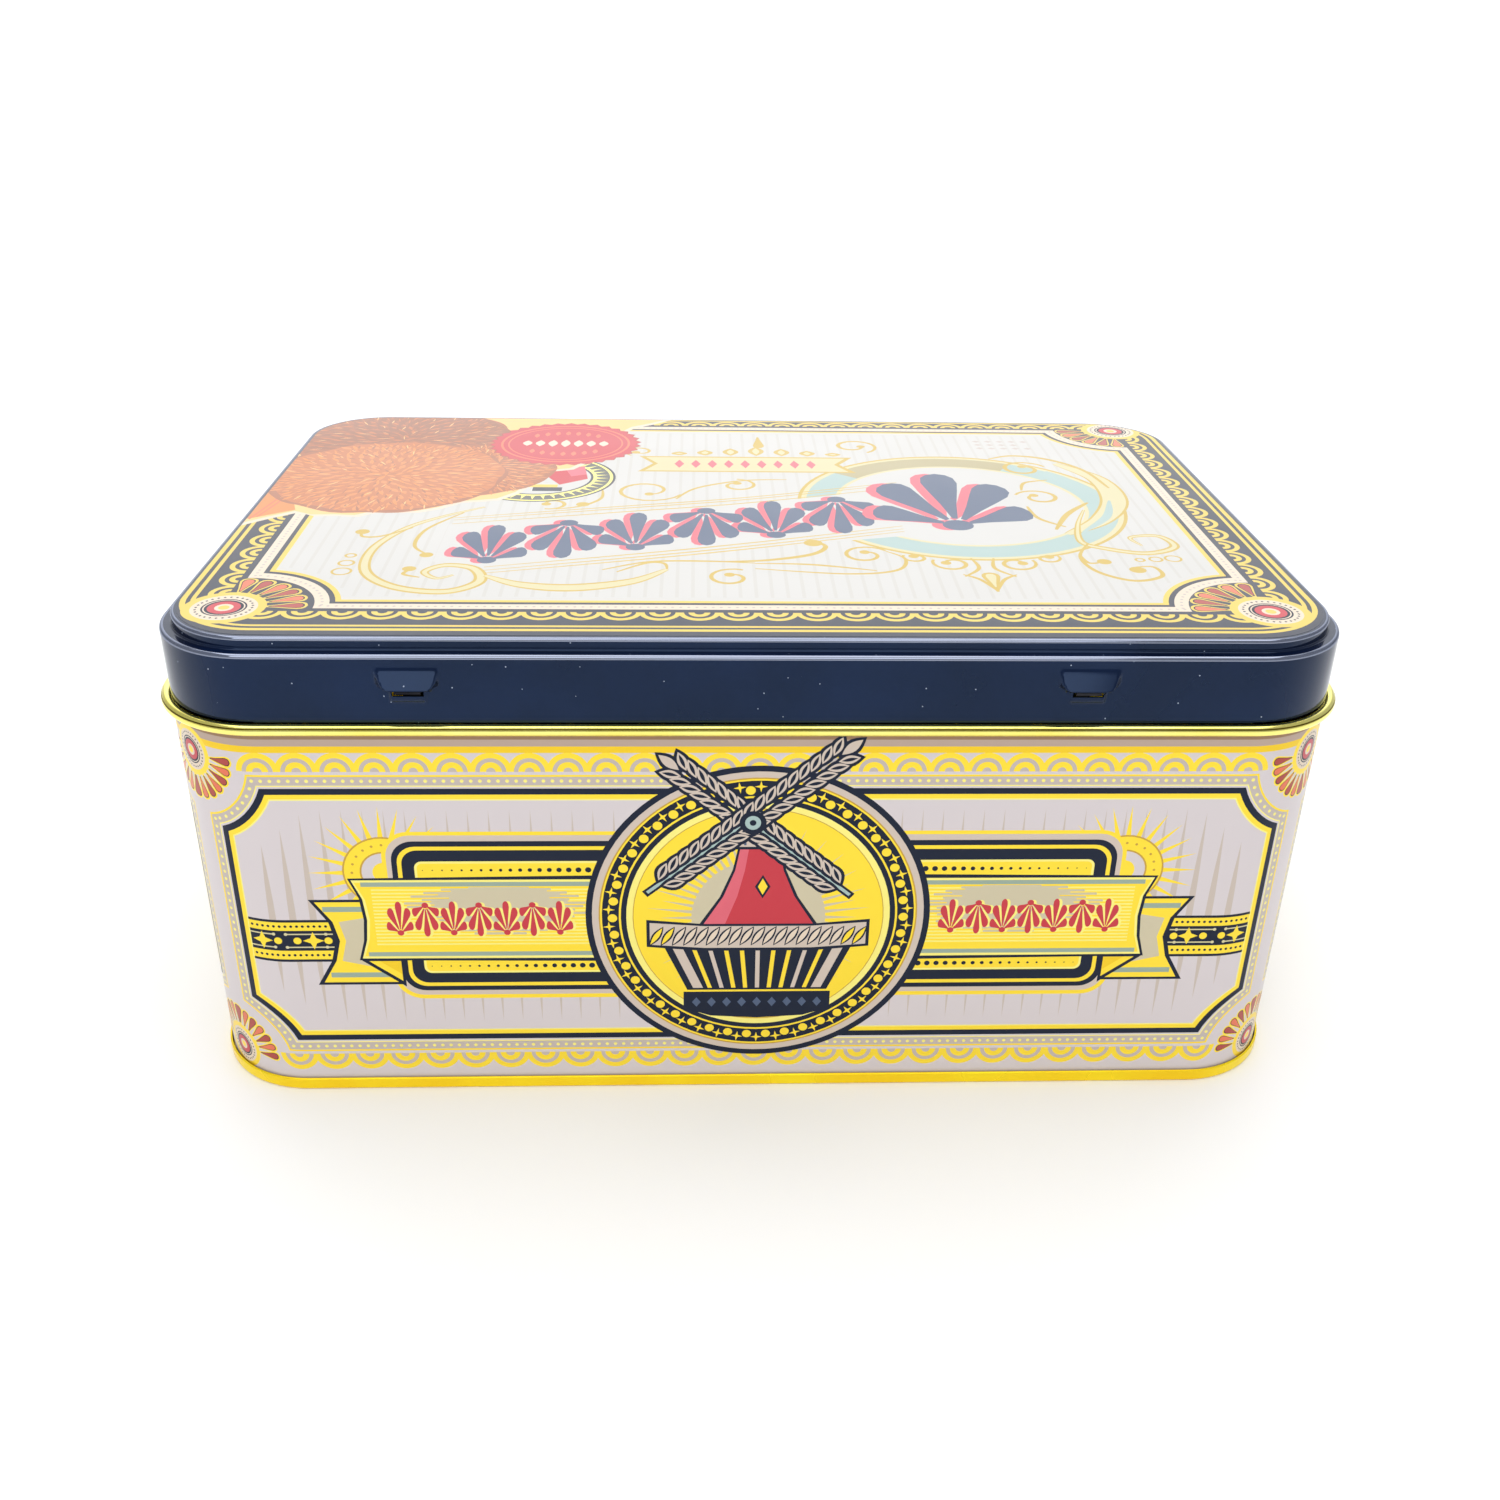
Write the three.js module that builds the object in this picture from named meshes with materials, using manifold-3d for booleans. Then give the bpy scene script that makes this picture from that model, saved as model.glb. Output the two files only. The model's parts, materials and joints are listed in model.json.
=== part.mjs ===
// Rectangular hinged-lid biscuit tin in tinplate, millimetres, +Z up.
// The back, with the hinge, faces -Y; the long side runs along X; the base ring rests on z = 0.
import * as THREE from "three";
import { mergeVertices } from "three/addons/utils/BufferGeometryUtils.js";
import Module from "manifold-3d";

const wasm = await Module();
wasm.setup();

// ---- driving dimensions ----
const LENGTH = 190; // outside of the printed wall, and of the lid's skirt, along X
const DEPTH = 130; // the same along Y
const HEIGHT = 85; // base ring to the top of the raised lid panel
const CORNER = 17; // outside corner radius of wall and skirt
const SHEET = 0.3; // tinplate as modelled
const STEPS = 12; // facets in each quarter-round corner

const BEAD_Z = 70.65; // centre of the curled bead at the wall's top edge
const BEAD_OUT = 0.65; // how far that centre stands outside the wall's face
const BEAD_R = 0.95;

const SKIRT_FOOT = 71.65; // lower edge of the lid's skirt
const SHELF_Z = 82.5; // narrow step around the raised panel
const PANEL_IN = 1.95; // how far the panel's side stands inside the skirt's face

const NECK_TOP = 81.5;
const NECK_FLANGE_Z = 70.1; // ledge that carries the neck, level with the bead
const NECK_SIDE_X = 93.9; // outside of the neck along X
const NECK_REAR_Y = -58.9; // set in at the back, where the lower skirt swings inwards
const NECK_FRONT_Y = 64.2;
const NECK_CORNER = 16;

const HINGE_LEFT = -54; // middle of each hinge slot: the pair stands a little left of centre
const HINGE_RIGHT = 50.9;
const HINGE_Y = -(DEPTH / 2 - SHEET / 2); // pivot line, in the skirt's own sheet
const HINGE_Z = 76.6;
const SLOT_WIDTH = 4.8;
const TONGUE_WIDTH = 4;
const TONGUE_SHEET = 0.4;
const TONGUE_CURL = 0.9; // mid-sheet radius of the tongue's curl around the pivot
const BOSS_TOP_WIDTH = 9.6;
const BOSS_FOOT_WIDTH = 8.6;

const centreX = LENGTH / 2 - CORNER;
const centreY = DEPTH / 2 - CORNER;

// ---- solids ----
function solid(geometry) {
  const bare = geometry.clone();
  bare.deleteAttribute("normal");
  bare.deleteAttribute("uv");
  const merged = mergeVertices(bare, 1e-4);
  return new wasm.Manifold(
    new wasm.Mesh({
      numProp: 3,
      vertProperties: new Float32Array(merged.attributes.position.array),
      triVerts: new Uint32Array(merged.index.array),
    }),
  );
}

function meshOf(name, shape, colour, roughness, metalness) {
  const made = shape.getMesh();
  const geometry = new THREE.BufferGeometry();
  geometry.setAttribute(
    "position",
    new THREE.BufferAttribute(new Float32Array(made.vertProperties), 3),
  );
  geometry.setIndex(
    new THREE.BufferAttribute(new Uint32Array(made.triVerts), 1),
  );
  geometry.computeVertexNormals();
  const material = new THREE.MeshStandardMaterial({
    color: colour,
    roughness,
    metalness,
  });
  const mesh = new THREE.Mesh(geometry, material);
  mesh.name = name;
  return mesh;
}

// Sweeps a closed profile of [radius, height] around a rounded rectangle whose corner centres
// stand at (+-hx, cy +- hy). The straight sides stay exactly flat.
function sweep(profile, hx, hy, cy = 0) {
  const columns = 4 * STEPS;
  const half = Math.PI / columns;
  const points = profile.map(
    ([r, z]) => new THREE.Vector2(r / Math.cos(half), z),
  );
  if (THREE.ShapeUtils.area(points) < 0) points.reverse();
  points.push(points[0].clone());
  const geometry = new THREE.LatheGeometry(points, columns, half);
  geometry.rotateX(Math.PI / 2);
  const position = geometry.attributes.position;
  for (let i = 0; i < position.count; i++) {
    const x = position.getX(i);
    const y = position.getY(i);
    position.setXY(i, x + Math.sign(x) * hx, y + Math.sign(y) * hy + cy);
  }
  return solid(geometry);
}

function block(x0, x1, y0, y1, z0, z1) {
  const geometry = new THREE.BoxGeometry(x1 - x0, y1 - y0, z1 - z0);
  geometry.translate((x0 + x1) / 2, (y0 + y1) / 2, (z0 + z1) / 2);
  return solid(geometry);
}

// A [y, z] outline pushed along X, centred on x, narrowed towards its lower edge when asked.
function prism(outline, x, width, footWidth = width) {
  const points = outline.map(([y, z]) => new THREE.Vector2(y, z));
  if (THREE.ShapeUtils.area(points) < 0) points.reverse();
  const shape = new THREE.Shape(points);
  const geometry = new THREE.ExtrudeGeometry(shape, {
    depth: 1,
    bevelEnabled: false,
  });
  const zs = outline.map((p) => p[1]);
  const low = Math.min(...zs);
  const high = Math.max(...zs);
  const position = geometry.attributes.position;
  for (let i = 0; i < position.count; i++) {
    const y = position.getX(i);
    const z = position.getY(i);
    const side = position.getZ(i) - 0.5;
    const wide = footWidth + ((width - footWidth) * (z - low)) / (high - low);
    position.setXYZ(i, x + side * wide, y, z);
  }
  return solid(geometry);
}

function roundedRect(hx, hy, r, cy = 0) {
  const shape = new THREE.Shape();
  const half = Math.PI / (4 * STEPS);
  const corners = [
    [hx - r, cy + hy - r, 0],
    [-(hx - r), cy + hy - r, 1],
    [-(hx - r), cy - hy + r, 2],
    [hx - r, cy - hy + r, 3],
  ];
  corners.forEach(([x, y, quarter], k) => {
    for (let i = 0; i < STEPS; i++) {
      const a = (quarter * Math.PI) / 2 + half + i * 2 * half;
      const px = x + (r / Math.cos(half)) * Math.cos(a);
      const py = y + (r / Math.cos(half)) * Math.sin(a);
      if (k === 0 && i === 0) shape.moveTo(px, py);
      else shape.lineTo(px, py);
    }
  });
  return shape;
}

function plate(outer, inner, z0, z1) {
  if (inner) outer.holes.push(inner);
  const geometry = new THREE.ExtrudeGeometry(outer, {
    depth: z1 - z0,
    bevelEnabled: false,
  });
  geometry.translate(0, 0, z0);
  return solid(geometry);
}

// Points on a circular arc, from one angle to the other, in degrees.
function arc(cy, cz, r, from, to, count) {
  return Array.from({ length: count + 1 }, (_, i) => {
    const a = THREE.MathUtils.degToRad(from + ((to - from) * i) / count);
    return [cy + r * Math.cos(a), cz + r * Math.sin(a)];
  });
}

// The outline of a strip of even thickness that follows a centre line.
function strip(line, thickness) {
  const side = (sign) =>
    line.map((p, i) => {
      const a = line[Math.max(i - 1, 0)];
      const b = line[Math.min(i + 1, line.length - 1)];
      const first = new THREE.Vector2(p[0] - a[0], p[1] - a[1]).normalize();
      const last = new THREE.Vector2(b[0] - p[0], b[1] - p[1]).normalize();
      const along = first.clone().add(last).normalize();
      const cosHalf = Math.max(
        0.5,
        along.dot(i === line.length - 1 ? first : last),
      );
      const reach = (sign * thickness) / 2 / cosHalf;
      return [p[0] - along.y * reach, p[1] + along.x * reach];
    });
  return [...side(1), ...side(-1).reverse()];
}

// ---- body wall: one printed band with its top edge curled outwards ----
function bodyWall() {
  const face = CORNER;
  const back = CORNER - SHEET;
  const cr = CORNER + BEAD_OUT;
  const outer = arc(cr, BEAD_Z, BEAD_R, 180, -115, 18);
  const inner = arc(cr, BEAD_Z, BEAD_R - SHEET, -115, 180, 14);
  return sweep([[back, 0.8], ...outer, ...inner, [face, 0.8]], centreX, centreY);
}

// ---- base plate: set-up panel with a channel that grips the wall's lower edge ----
function basePlate() {
  const c = CORNER;
  const inside = c - 9;
  const ring = sweep(
    [
      [inside, 1.9],
      [c - 1.75, 1.9],
      [c - 1.25, 1.75],
      [c - 1.1, 1.35],
      [c - 1.1, 0.45],
      [c - 0.95, 0.12],
      [c - 0.6, 0],
      [c + 0.15, 0],
      [c + 0.48, 0.12],
      [c + 0.62, 0.45],
      [c + 0.62, 1.95],
      [c + 0.52, 2.22],
      [c + 0.32, 2.3],
      [c + 0.25, 2.1],
      [c + 0.3, 1.9],
      [c + 0.3, 0.6],
      [c + 0.15, 0.4],
      [c - 0.6, 0.4],
      [c - 0.75, 0.6],
      [c - 0.75, 1.5],
      [c - 0.95, 1.95],
      [c - 1.45, 2.2],
      [inside, 2.2],
    ],
    centreX,
    centreY,
  );
  const x = centreX + inside + 1;
  const y = centreY + inside + 1;
  return ring.add(block(-x, x, -y, y, 1.9, 2.2));
}

// ---- neck ring: sleeve inside the wall, ledge at the bead, collar that the lid slides over ----
function neckRing() {
  const sleeve = sweep(
    [
      [CORNER - 0.7, 58],
      [CORNER - 0.4, 58],
      [CORNER - 0.4, NECK_FLANGE_Z + SHEET],
      [CORNER - 0.7, NECK_FLANGE_Z + SHEET],
    ],
    centreX,
    centreY,
  );
  const hx = NECK_SIDE_X - NECK_CORNER;
  const hy = (NECK_FRONT_Y - NECK_REAR_Y) / 2 - NECK_CORNER;
  const cy = (NECK_FRONT_Y + NECK_REAR_Y) / 2;
  const r = NECK_CORNER;
  const collar = sweep(
    [
      [r - SHEET, NECK_FLANGE_Z],
      [r, NECK_FLANGE_Z],
      [r, NECK_TOP - 0.35],
      [r - 0.12, NECK_TOP - 0.08],
      [r - 0.35, NECK_TOP],
      [r - 0.65, NECK_TOP - 0.08],
      [r - 0.8, NECK_TOP - 0.35],
      [r - 0.8, NECK_TOP - 1.8],
      [r - SHEET, NECK_TOP - 2.1],
    ],
    hx,
    hy,
    cy,
  );
  const ledge = plate(
    roundedRect(LENGTH / 2 - 0.4, DEPTH / 2 - 0.4, CORNER - 0.4),
    roundedRect(hx + r - SHEET, hy + r - SHEET, r - SHEET, cy),
    NECK_FLANGE_Z,
    NECK_FLANGE_Z + SHEET,
  );
  return sleeve.add(ledge).add(collar);
}

// ---- lid: raised panel, narrow shelf, skirt, and two pressed hinge bosses with slots ----
function lidShell() {
  const c = CORNER;
  const p = c - PANEL_IN;
  const top = HEIGHT;
  const under = HEIGHT - SHEET;
  const inside = c - 9;
  const shell = sweep(
    [
      [inside, under],
      [p - 1.15, under],
      [p - 0.8, under - 0.08],
      [p - 0.5, under - 0.3],
      [p - 0.33, under - 0.62],
      [p - SHEET, under - 1],
      [p - SHEET + 0.03, SHELF_Z],
      [p - 0.05, SHELF_Z - 0.25],
      [p + 0.25, SHELF_Z - SHEET],
      [c - 0.85, SHELF_Z - SHEET - 0.03],
      [c - 0.45, SHELF_Z - SHEET - 0.18],
      [c - SHEET, SHELF_Z - SHEET - 0.6],
      [c - SHEET, SKIRT_FOOT],
      [c, SKIRT_FOOT],
      [c, SHELF_Z - 0.75],
      [c - 0.08, SHELF_Z - 0.38],
      [c - 0.3, SHELF_Z - 0.12],
      [c - 0.65, SHELF_Z],
      [p + 0.4, SHELF_Z],
      [p + 0.12, SHELF_Z + 0.12],
      [p, SHELF_Z + 0.4],
      [p, top - 1],
      [p - 0.08, top - 0.62],
      [p - 0.29, top - 0.3],
      [p - 0.62, top - 0.08],
      [p - 1, top],
      [inside, top],
    ],
    centreX,
    centreY,
  );
  const x = centreX + inside + 1;
  const y = centreY + inside + 1;
  let lid = shell.add(block(-x, x, -y, y, under, top));
  for (const x of [HINGE_LEFT, HINGE_RIGHT]) lid = hingeBoss(lid, x);
  return lid;
}

function at([y, z]) {
  return [HINGE_Y + y, HINGE_Z + z];
}

function hingeBoss(lid, x) {
  const half = SHEET / 2;
  const pressed = [
    [half - 0.1, 4.8],
    [-half, 4.8],
    [-1.6, 0.95],
    [-0.95, -0.35],
    [-half, -1.9],
    [half - 0.1, -1.9],
  ];
  const pocket = [
    [1.5, 4.3],
    [half, 4.3],
    [-1.28, 0.98],
    [-0.8, 0],
    [1.5, 0],
  ];
  const slot = [
    [-3, 0.95],
    [-3, -0.35],
    [-0.35, -0.35],
    [-0.35, 0.95],
  ];
  return lid
    .add(prism(pressed.map(at), x, BOSS_TOP_WIDTH, BOSS_FOOT_WIDTH))
    .subtract(
      prism(pocket.map(at), x, BOSS_TOP_WIDTH - 0.8, BOSS_FOOT_WIDTH - 0.8),
    )
    .subtract(prism(slot.map(at), x, SLOT_WIDTH));
}

// ---- hinge tongue: a strap on the neck that leans out and curls over the lid's slot edge ----
function hingeTongue(x) {
  const curl = arc(0, 0, TONGUE_CURL, 172, 120, 6);
  const lean = Math.tan(Math.PI / 6);
  const strapY = NECK_REAR_Y - 0.06 - TONGUE_SHEET / 2 - HINGE_Y;
  const tangent = curl[curl.length - 1];
  const crown = tangent[1] + (strapY - 0.5 - tangent[0]) * lean;
  const line = [
    ...curl,
    [strapY - 0.9, crown - 0.4 * lean],
    [strapY - 0.3, crown + 0.02],
    [strapY, crown - 0.3],
    [strapY, -3.2],
  ];
  return prism(strip(line, TONGUE_SHEET).map(at), x, TONGUE_WIDTH);
}

const tin = new THREE.Group();
tin.name = "hinged_tin";
tin.add(meshOf("body_wall", bodyWall(), 0xcdc3c4, 0.35, 0.3));
tin.add(meshOf("base_plate", basePlate(), 0xd9b24a, 0.3, 0.9));
tin.add(meshOf("neck_ring", neckRing(), 0xd9b24a, 0.3, 0.9));
tin.add(meshOf("lid", lidShell(), 0x0d1a3a, 0.25, 0.3));
tin.add(
  meshOf("hinge_tongue_left", hingeTongue(HINGE_LEFT), 0xe0bb52, 0.3, 0.9),
);
tin.add(
  meshOf("hinge_tongue_right", hingeTongue(HINGE_RIGHT), 0xe0bb52, 0.3, 0.9),
);

export default tin;
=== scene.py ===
"""Looks of the hinged-lid biscuit tin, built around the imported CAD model.

Shapes are written in millimetres and turned into metres when a mesh is made.
Wall artwork uses (s, z): s runs along the wall from the middle of a side, z is the height.
"""

import json
import math

import bpy
from mathutils import Matrix, Vector
from mathutils.geometry import delaunay_2d_cdt

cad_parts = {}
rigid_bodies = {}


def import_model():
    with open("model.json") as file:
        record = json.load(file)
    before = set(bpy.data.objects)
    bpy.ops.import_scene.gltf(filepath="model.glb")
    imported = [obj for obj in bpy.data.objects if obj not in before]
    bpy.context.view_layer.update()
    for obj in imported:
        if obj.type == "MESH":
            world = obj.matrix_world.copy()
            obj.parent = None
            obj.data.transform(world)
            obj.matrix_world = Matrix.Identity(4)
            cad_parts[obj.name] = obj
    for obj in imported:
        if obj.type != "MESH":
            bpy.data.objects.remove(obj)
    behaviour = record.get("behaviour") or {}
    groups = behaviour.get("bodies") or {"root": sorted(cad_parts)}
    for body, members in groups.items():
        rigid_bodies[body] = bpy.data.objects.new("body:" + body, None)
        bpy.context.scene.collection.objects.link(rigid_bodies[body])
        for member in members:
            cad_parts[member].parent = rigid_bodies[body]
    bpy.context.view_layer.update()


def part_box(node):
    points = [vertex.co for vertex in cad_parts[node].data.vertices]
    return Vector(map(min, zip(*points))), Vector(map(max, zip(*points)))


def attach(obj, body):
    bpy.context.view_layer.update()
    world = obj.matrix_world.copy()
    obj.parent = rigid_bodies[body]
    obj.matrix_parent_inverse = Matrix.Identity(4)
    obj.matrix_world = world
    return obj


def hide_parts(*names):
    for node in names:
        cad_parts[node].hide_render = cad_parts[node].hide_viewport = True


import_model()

MM = 0.001

# ---- sizes shared with the CAD model ----
lid_low, lid_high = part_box("lid")
base_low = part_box("base_plate")[0]
HALF_X = lid_high.x / MM  # outside of wall and skirt along X
HALF_Y = lid_high.y / MM  # the same along Y
TOP = lid_high.z / MM
FOOT = lid_low.z / MM  # lower edge of the lid's skirt
CORNER = 17.0
SHEET = 0.3
STEPS = 24  # columns in each quarter-round corner
CX = HALF_X - CORNER
CY = HALF_Y - CORNER
SHELF = TOP - 2.1
PANEL = CORNER - 1.95  # corner radius of the raised panel
BEAD_Z = FOOT - 1.0
BEAD_OUT = 0.65
BEAD_R = 0.95
HINGES = (-54.0, 50.9)  # middle of each hinge slot along X
HINGE_Z = 76.6
SLIT_HALF = 2.4
SLIT_LOW = -0.35  # edges of the slit, counted from HINGE_Z
SLIT_HIGH = 0.95
PEEL_DEPTH = 0.00004  # height of the orange-peel skin, in metres
DUST_CELLS = 400  # places for a speck of dust, per metre
DUST_SIZE = 0.042  # radius of a speck, as a share of its cell


# ---- materials ----
def srgb(red, green, blue):
    """Linear colour of an 8-bit screen colour."""
    parts = []
    for part in (red, green, blue):
        share = part / 255
        parts.append(share / 12.92 if share < 0.04 else ((share + 0.055) / 1.055) ** 2.4)
    return (*parts, 1.0)


def tune(node, **values):
    """Sets inputs of a node; an underscore stands for the space in an input's name."""
    for name, value in values.items():
        node.inputs[name.replace("_", " ")].default_value = value
    return node


def shader_of(made):
    return made.node_tree.nodes["Principled BSDF"]


def noise(tree, scale, detail):
    """A noise texture in object space."""
    place = tree.nodes.new("ShaderNodeTexCoord")
    made = tune(tree.nodes.new("ShaderNodeTexNoise"), Scale=scale, Detail=detail)
    tree.links.new(place.outputs["Object"], made.inputs["Vector"])
    return made.outputs["Fac"]


def stretch(tree, value, low, high):
    """Spreads a noise value over the range low to high."""
    made = tune(tree.nodes.new("ShaderNodeMapRange"), From_Min=0.3, From_Max=0.7)
    tune(made, To_Min=low, To_Max=high)
    tree.links.new(value, made.inputs["Value"])
    return made.outputs["Result"]


def lacquer(name, colour, metallic=0.0, gloss=(0.22, 0.34), specular=0.5, peel=0.12):
    """Printed or lacquered tinplate: uneven gloss and a faint orange-peel skin."""
    made = bpy.data.materials.new(name)
    made.use_nodes = True
    tree = made.node_tree
    shader = tune(shader_of(made), Base_Color=srgb(*colour), Metallic=metallic)
    tune(shader, Specular_IOR_Level=specular)
    tree.links.new(stretch(tree, noise(tree, 60, 1), *gloss), shader.inputs["Roughness"])
    bump = tune(tree.nodes.new("ShaderNodeBump"), Strength=peel, Distance=PEEL_DEPTH)
    tree.links.new(noise(tree, 900, 2), bump.inputs["Height"])
    tree.links.new(bump.outputs["Normal"], shader.inputs["Normal"])
    return made


def tinted(made, dark, light, scale=60):
    """Lets the base colour drift between two tones, as a thin lacquer does."""
    tree = made.node_tree
    ramp = tree.nodes.new("ShaderNodeValToRGB")
    stops = ramp.color_ramp.elements
    stops[0].position = 0.35
    stops[0].color = srgb(*dark)
    stops[1].position = 0.68
    stops[1].color = srgb(*light)
    tree.links.new(noise(tree, scale, 5), ramp.inputs["Fac"])
    tree.links.new(ramp.outputs["Color"], shader_of(made).inputs["Base Color"])
    return made


def dusted(made, colour):
    """Scatters fine specks of dust over a tinted lacquer."""
    tree = made.node_tree
    place = tree.nodes.new("ShaderNodeTexCoord")
    cells = tune(tree.nodes.new("ShaderNodeTexVoronoi"), Scale=DUST_CELLS)
    tree.links.new(place.outputs["Object"], cells.inputs["Vector"])
    near = tree.nodes.new("ShaderNodeMath")
    near.operation = "LESS_THAN"
    near.inputs[1].default_value = DUST_SIZE
    tree.links.new(cells.outputs["Distance"], near.inputs[0])
    mix = tree.nodes.new("ShaderNodeMix")
    mix.data_type = "RGBA"
    under, speck = (socket for socket in mix.inputs if socket.type == "RGBA")
    result = next(socket for socket in mix.outputs if socket.type == "RGBA")
    speck.default_value = srgb(*colour)
    tree.links.new(near.outputs[0], mix.inputs["Factor"])
    base = shader_of(made).inputs["Base Color"]
    tree.links.new(base.links[0].from_socket, under)
    tree.links.new(result, base)
    return made


def gold_lacquer(name, dark, light, gloss):
    made = lacquer(name, light, metallic=1.0, gloss=gloss, peel=0.005)
    return tinted(made, dark, light)


def navy_lacquer(name, gloss, specular, tint):
    """Deep blue lacquer of the lid."""
    made = lacquer(name, (8, 18, 46), gloss=gloss, specular=specular, peel=0.02)
    tune(shader_of(made), Specular_Tint=srgb(*tint))
    return tinted(made, (4, 14, 38), (9, 24, 54), scale=45)


gold = gold_lacquer("gold_lacquer", (250, 238, 120), (255, 248, 150), (0.15, 0.19))
# darker gold that paints the shade in the bead's thin groove
gold_painted_shade = gold_lacquer("gold_painted_shade", (120, 104, 30), (140, 124, 40), (0.25, 0.35))
base_gold = gold_lacquer("base_gold", (250, 208, 4), (255, 228, 20), (0.2, 0.3))
tune(shader_of(base_gold), Metallic=0.5)
inside_gold = gold_lacquer("inside_gold", (224, 192, 86), (236, 208, 104), (0.24, 0.34))
# dark steel for the hinge tongues, darkened further to paint the shade inside the hinge slits
tongue_steel_painted_shade = gold_lacquer("tongue_steel_painted_shade", (30, 30, 34), (56, 56, 60), (0.25, 0.4))
navy_gloss = navy_lacquer("navy_gloss", (0.06, 0.1), 0.46, (172, 204, 255))
dusted(navy_gloss, (176, 186, 204))
navy_edge = navy_lacquer("navy_edge", (0.05, 0.08), 1.0, (222, 231, 255))
tune(shader_of(navy_edge), IOR=2.4)  # a glassier lacquer, where the edges catch the light
wall_base = lacquer("wall_base_coat", (205, 196, 197))


def ink(name, red, green, blue, metallic=0.0, specular=0.5):
    """A printing ink: its colour is one constant, so that edges of the print stay sharp."""
    return lacquer("ink_" + name, (red, green, blue), metallic, (0.28, 0.33), specular, 0.02)


INK_TONES = {  # 8-bit colour, then how metallic the ink is, then its specular level
    "ground": (212, 203, 204, 0.1),
    "shade": (192, 180, 172, 0.1),
    "needle": (198, 184, 172, 0.1),
    "gold": (252, 220, 52, 0.35),
    "pale_gold": (248, 236, 128, 0.3),
    "ochre": (196, 156, 58, 0.4),
    "cream": (226, 208, 186),
    "navy": (14, 26, 48, 0.0, 0.22),
    "lid_navy": (18, 30, 54),
    "red": (198, 40, 56),
    "pink": (222, 96, 112),
    "rust": (172, 58, 48),
    "coral": (228, 112, 74),
    "teal": (150, 168, 152, 0.2),
    "olive": (176, 164, 122, 0.2),
    # brown and taupe below paint the bead's shade and reflection on the wall
    "brown": (150, 118, 88, 0.2),
    "white": (204, 202, 198),
    "stripe": (199, 196, 190),
    "steel": (68, 86, 116),
    "slate": (86, 88, 84),
    "sky": (164, 188, 184),
    "scroll": (200, 170, 66, 0.1),
    "lid_gold": (226, 196, 78, 0.1),
    "veil": (212, 202, 156),
    "peach": (250, 196, 122),
    "amber": (216, 134, 58),
    "biscuit": (194, 114, 60),
    "crust": (168, 100, 62),
    "crumb": (212, 134, 72),
    "brown_crust": (152, 94, 62),
    "taupe": (182, 160, 146, 0.12),
    "warm_grey": (206, 190, 176, 0.1),
    "khaki": (204, 193, 162, 0.15),
    "deep_gold": (242, 202, 26, 0.35),
}
INKS = {name: ink(name, *tone) for name, tone in INK_TONES.items()}


# ---- solid meshes ----
def add_piece(name, body, points, faces, materials, slots):
    """A smooth mesh object that rides on one body of the frame."""
    mesh = bpy.data.meshes.new(name)
    mesh.from_pydata(points, [], faces)
    for made in materials:
        mesh.materials.append(made)
    mesh.polygons.foreach_set("material_index", slots)
    mesh.shade_smooth()
    piece = bpy.data.objects.new(name, mesh)
    bpy.context.scene.collection.objects.link(piece)
    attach(piece, body)
    return piece


class Maker:
    """Collects faces, their material slots and the normal at each of their corners."""

    def __init__(self):
        self.places = {}
        self.points = []
        self.faces = []
        self.slots = []
        self.normals = []

    def point(self, place):
        key = tuple(round(v, 4) for v in place)
        if key not in self.places:
            self.places[key] = len(self.points)
            self.points.append([v * MM for v in key])
        return self.places[key]

    def face(self, places, normals, slot):
        corners = [self.point(p) for p in places]
        kept = [k for k, c in enumerate(corners) if c != corners[k - 1]]
        if len(kept) < 3:
            return
        self.faces.append([corners[k] for k in kept])
        self.normals.extend(normals[k] for k in kept)
        self.slots.append(slot)

    def build(self, name, body, materials, nodes):
        piece = add_piece(name, body, self.points, self.faces, materials, self.slots)
        piece.data.normals_split_custom_set(self.normals)
        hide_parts(*nodes)


def polar(x, y, r, angle):
    """The point at distance r from (x, y), angle in degrees."""
    turn = math.radians(angle)
    return x + r * math.cos(turn), y + r * math.sin(turn)


def spread(start, end, count):
    """Evenly spaced values from start to end, both included."""
    return [start + (end - start) * k / count for k in range(count + 1)]


def columns():
    """Corner signs and outward direction of every column round a rounded rectangle."""
    made = []
    for quarter, signs in enumerate(((1, 1), (-1, 1), (-1, -1), (1, -1))):
        for step in range(STEPS + 1):
            angle = (quarter + step / STEPS) * math.pi / 2
            made.append((*signs, math.cos(angle), math.sin(angle)))
    return made


COLUMNS = columns()
REAR = 3 * (STEPS + 1) - 1  # the column just before the straight rear side


def loop(r, z, hx=CX, hy=CY, cy=0.0):
    """One ring of points at corner radius r and height z."""
    return [Vector((sx * hx + r * dx, cy + sy * hy + r * dy, z)) for sx, sy, dx, dy in COLUMNS]


def fillet(points, radii, steps=6):
    """A [r, z] line with each inner corner rounded off."""
    made = [points[0]]
    for before, here, after, radius in zip(points, points[1:], points[2:], radii):
        here = Vector(here)
        back = (Vector(before) - here).normalized()
        ahead = (Vector(after) - here).normalized()
        start = here + back * radius
        end = here + ahead * radius
        for k in range(steps + 1):
            t = k / steps
            spot = start * (1 - t) ** 2 + here * 2 * t * (1 - t) + end * t * t
            made.append((spot.x, spot.y))
    made.append(points[-1])
    return made


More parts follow.
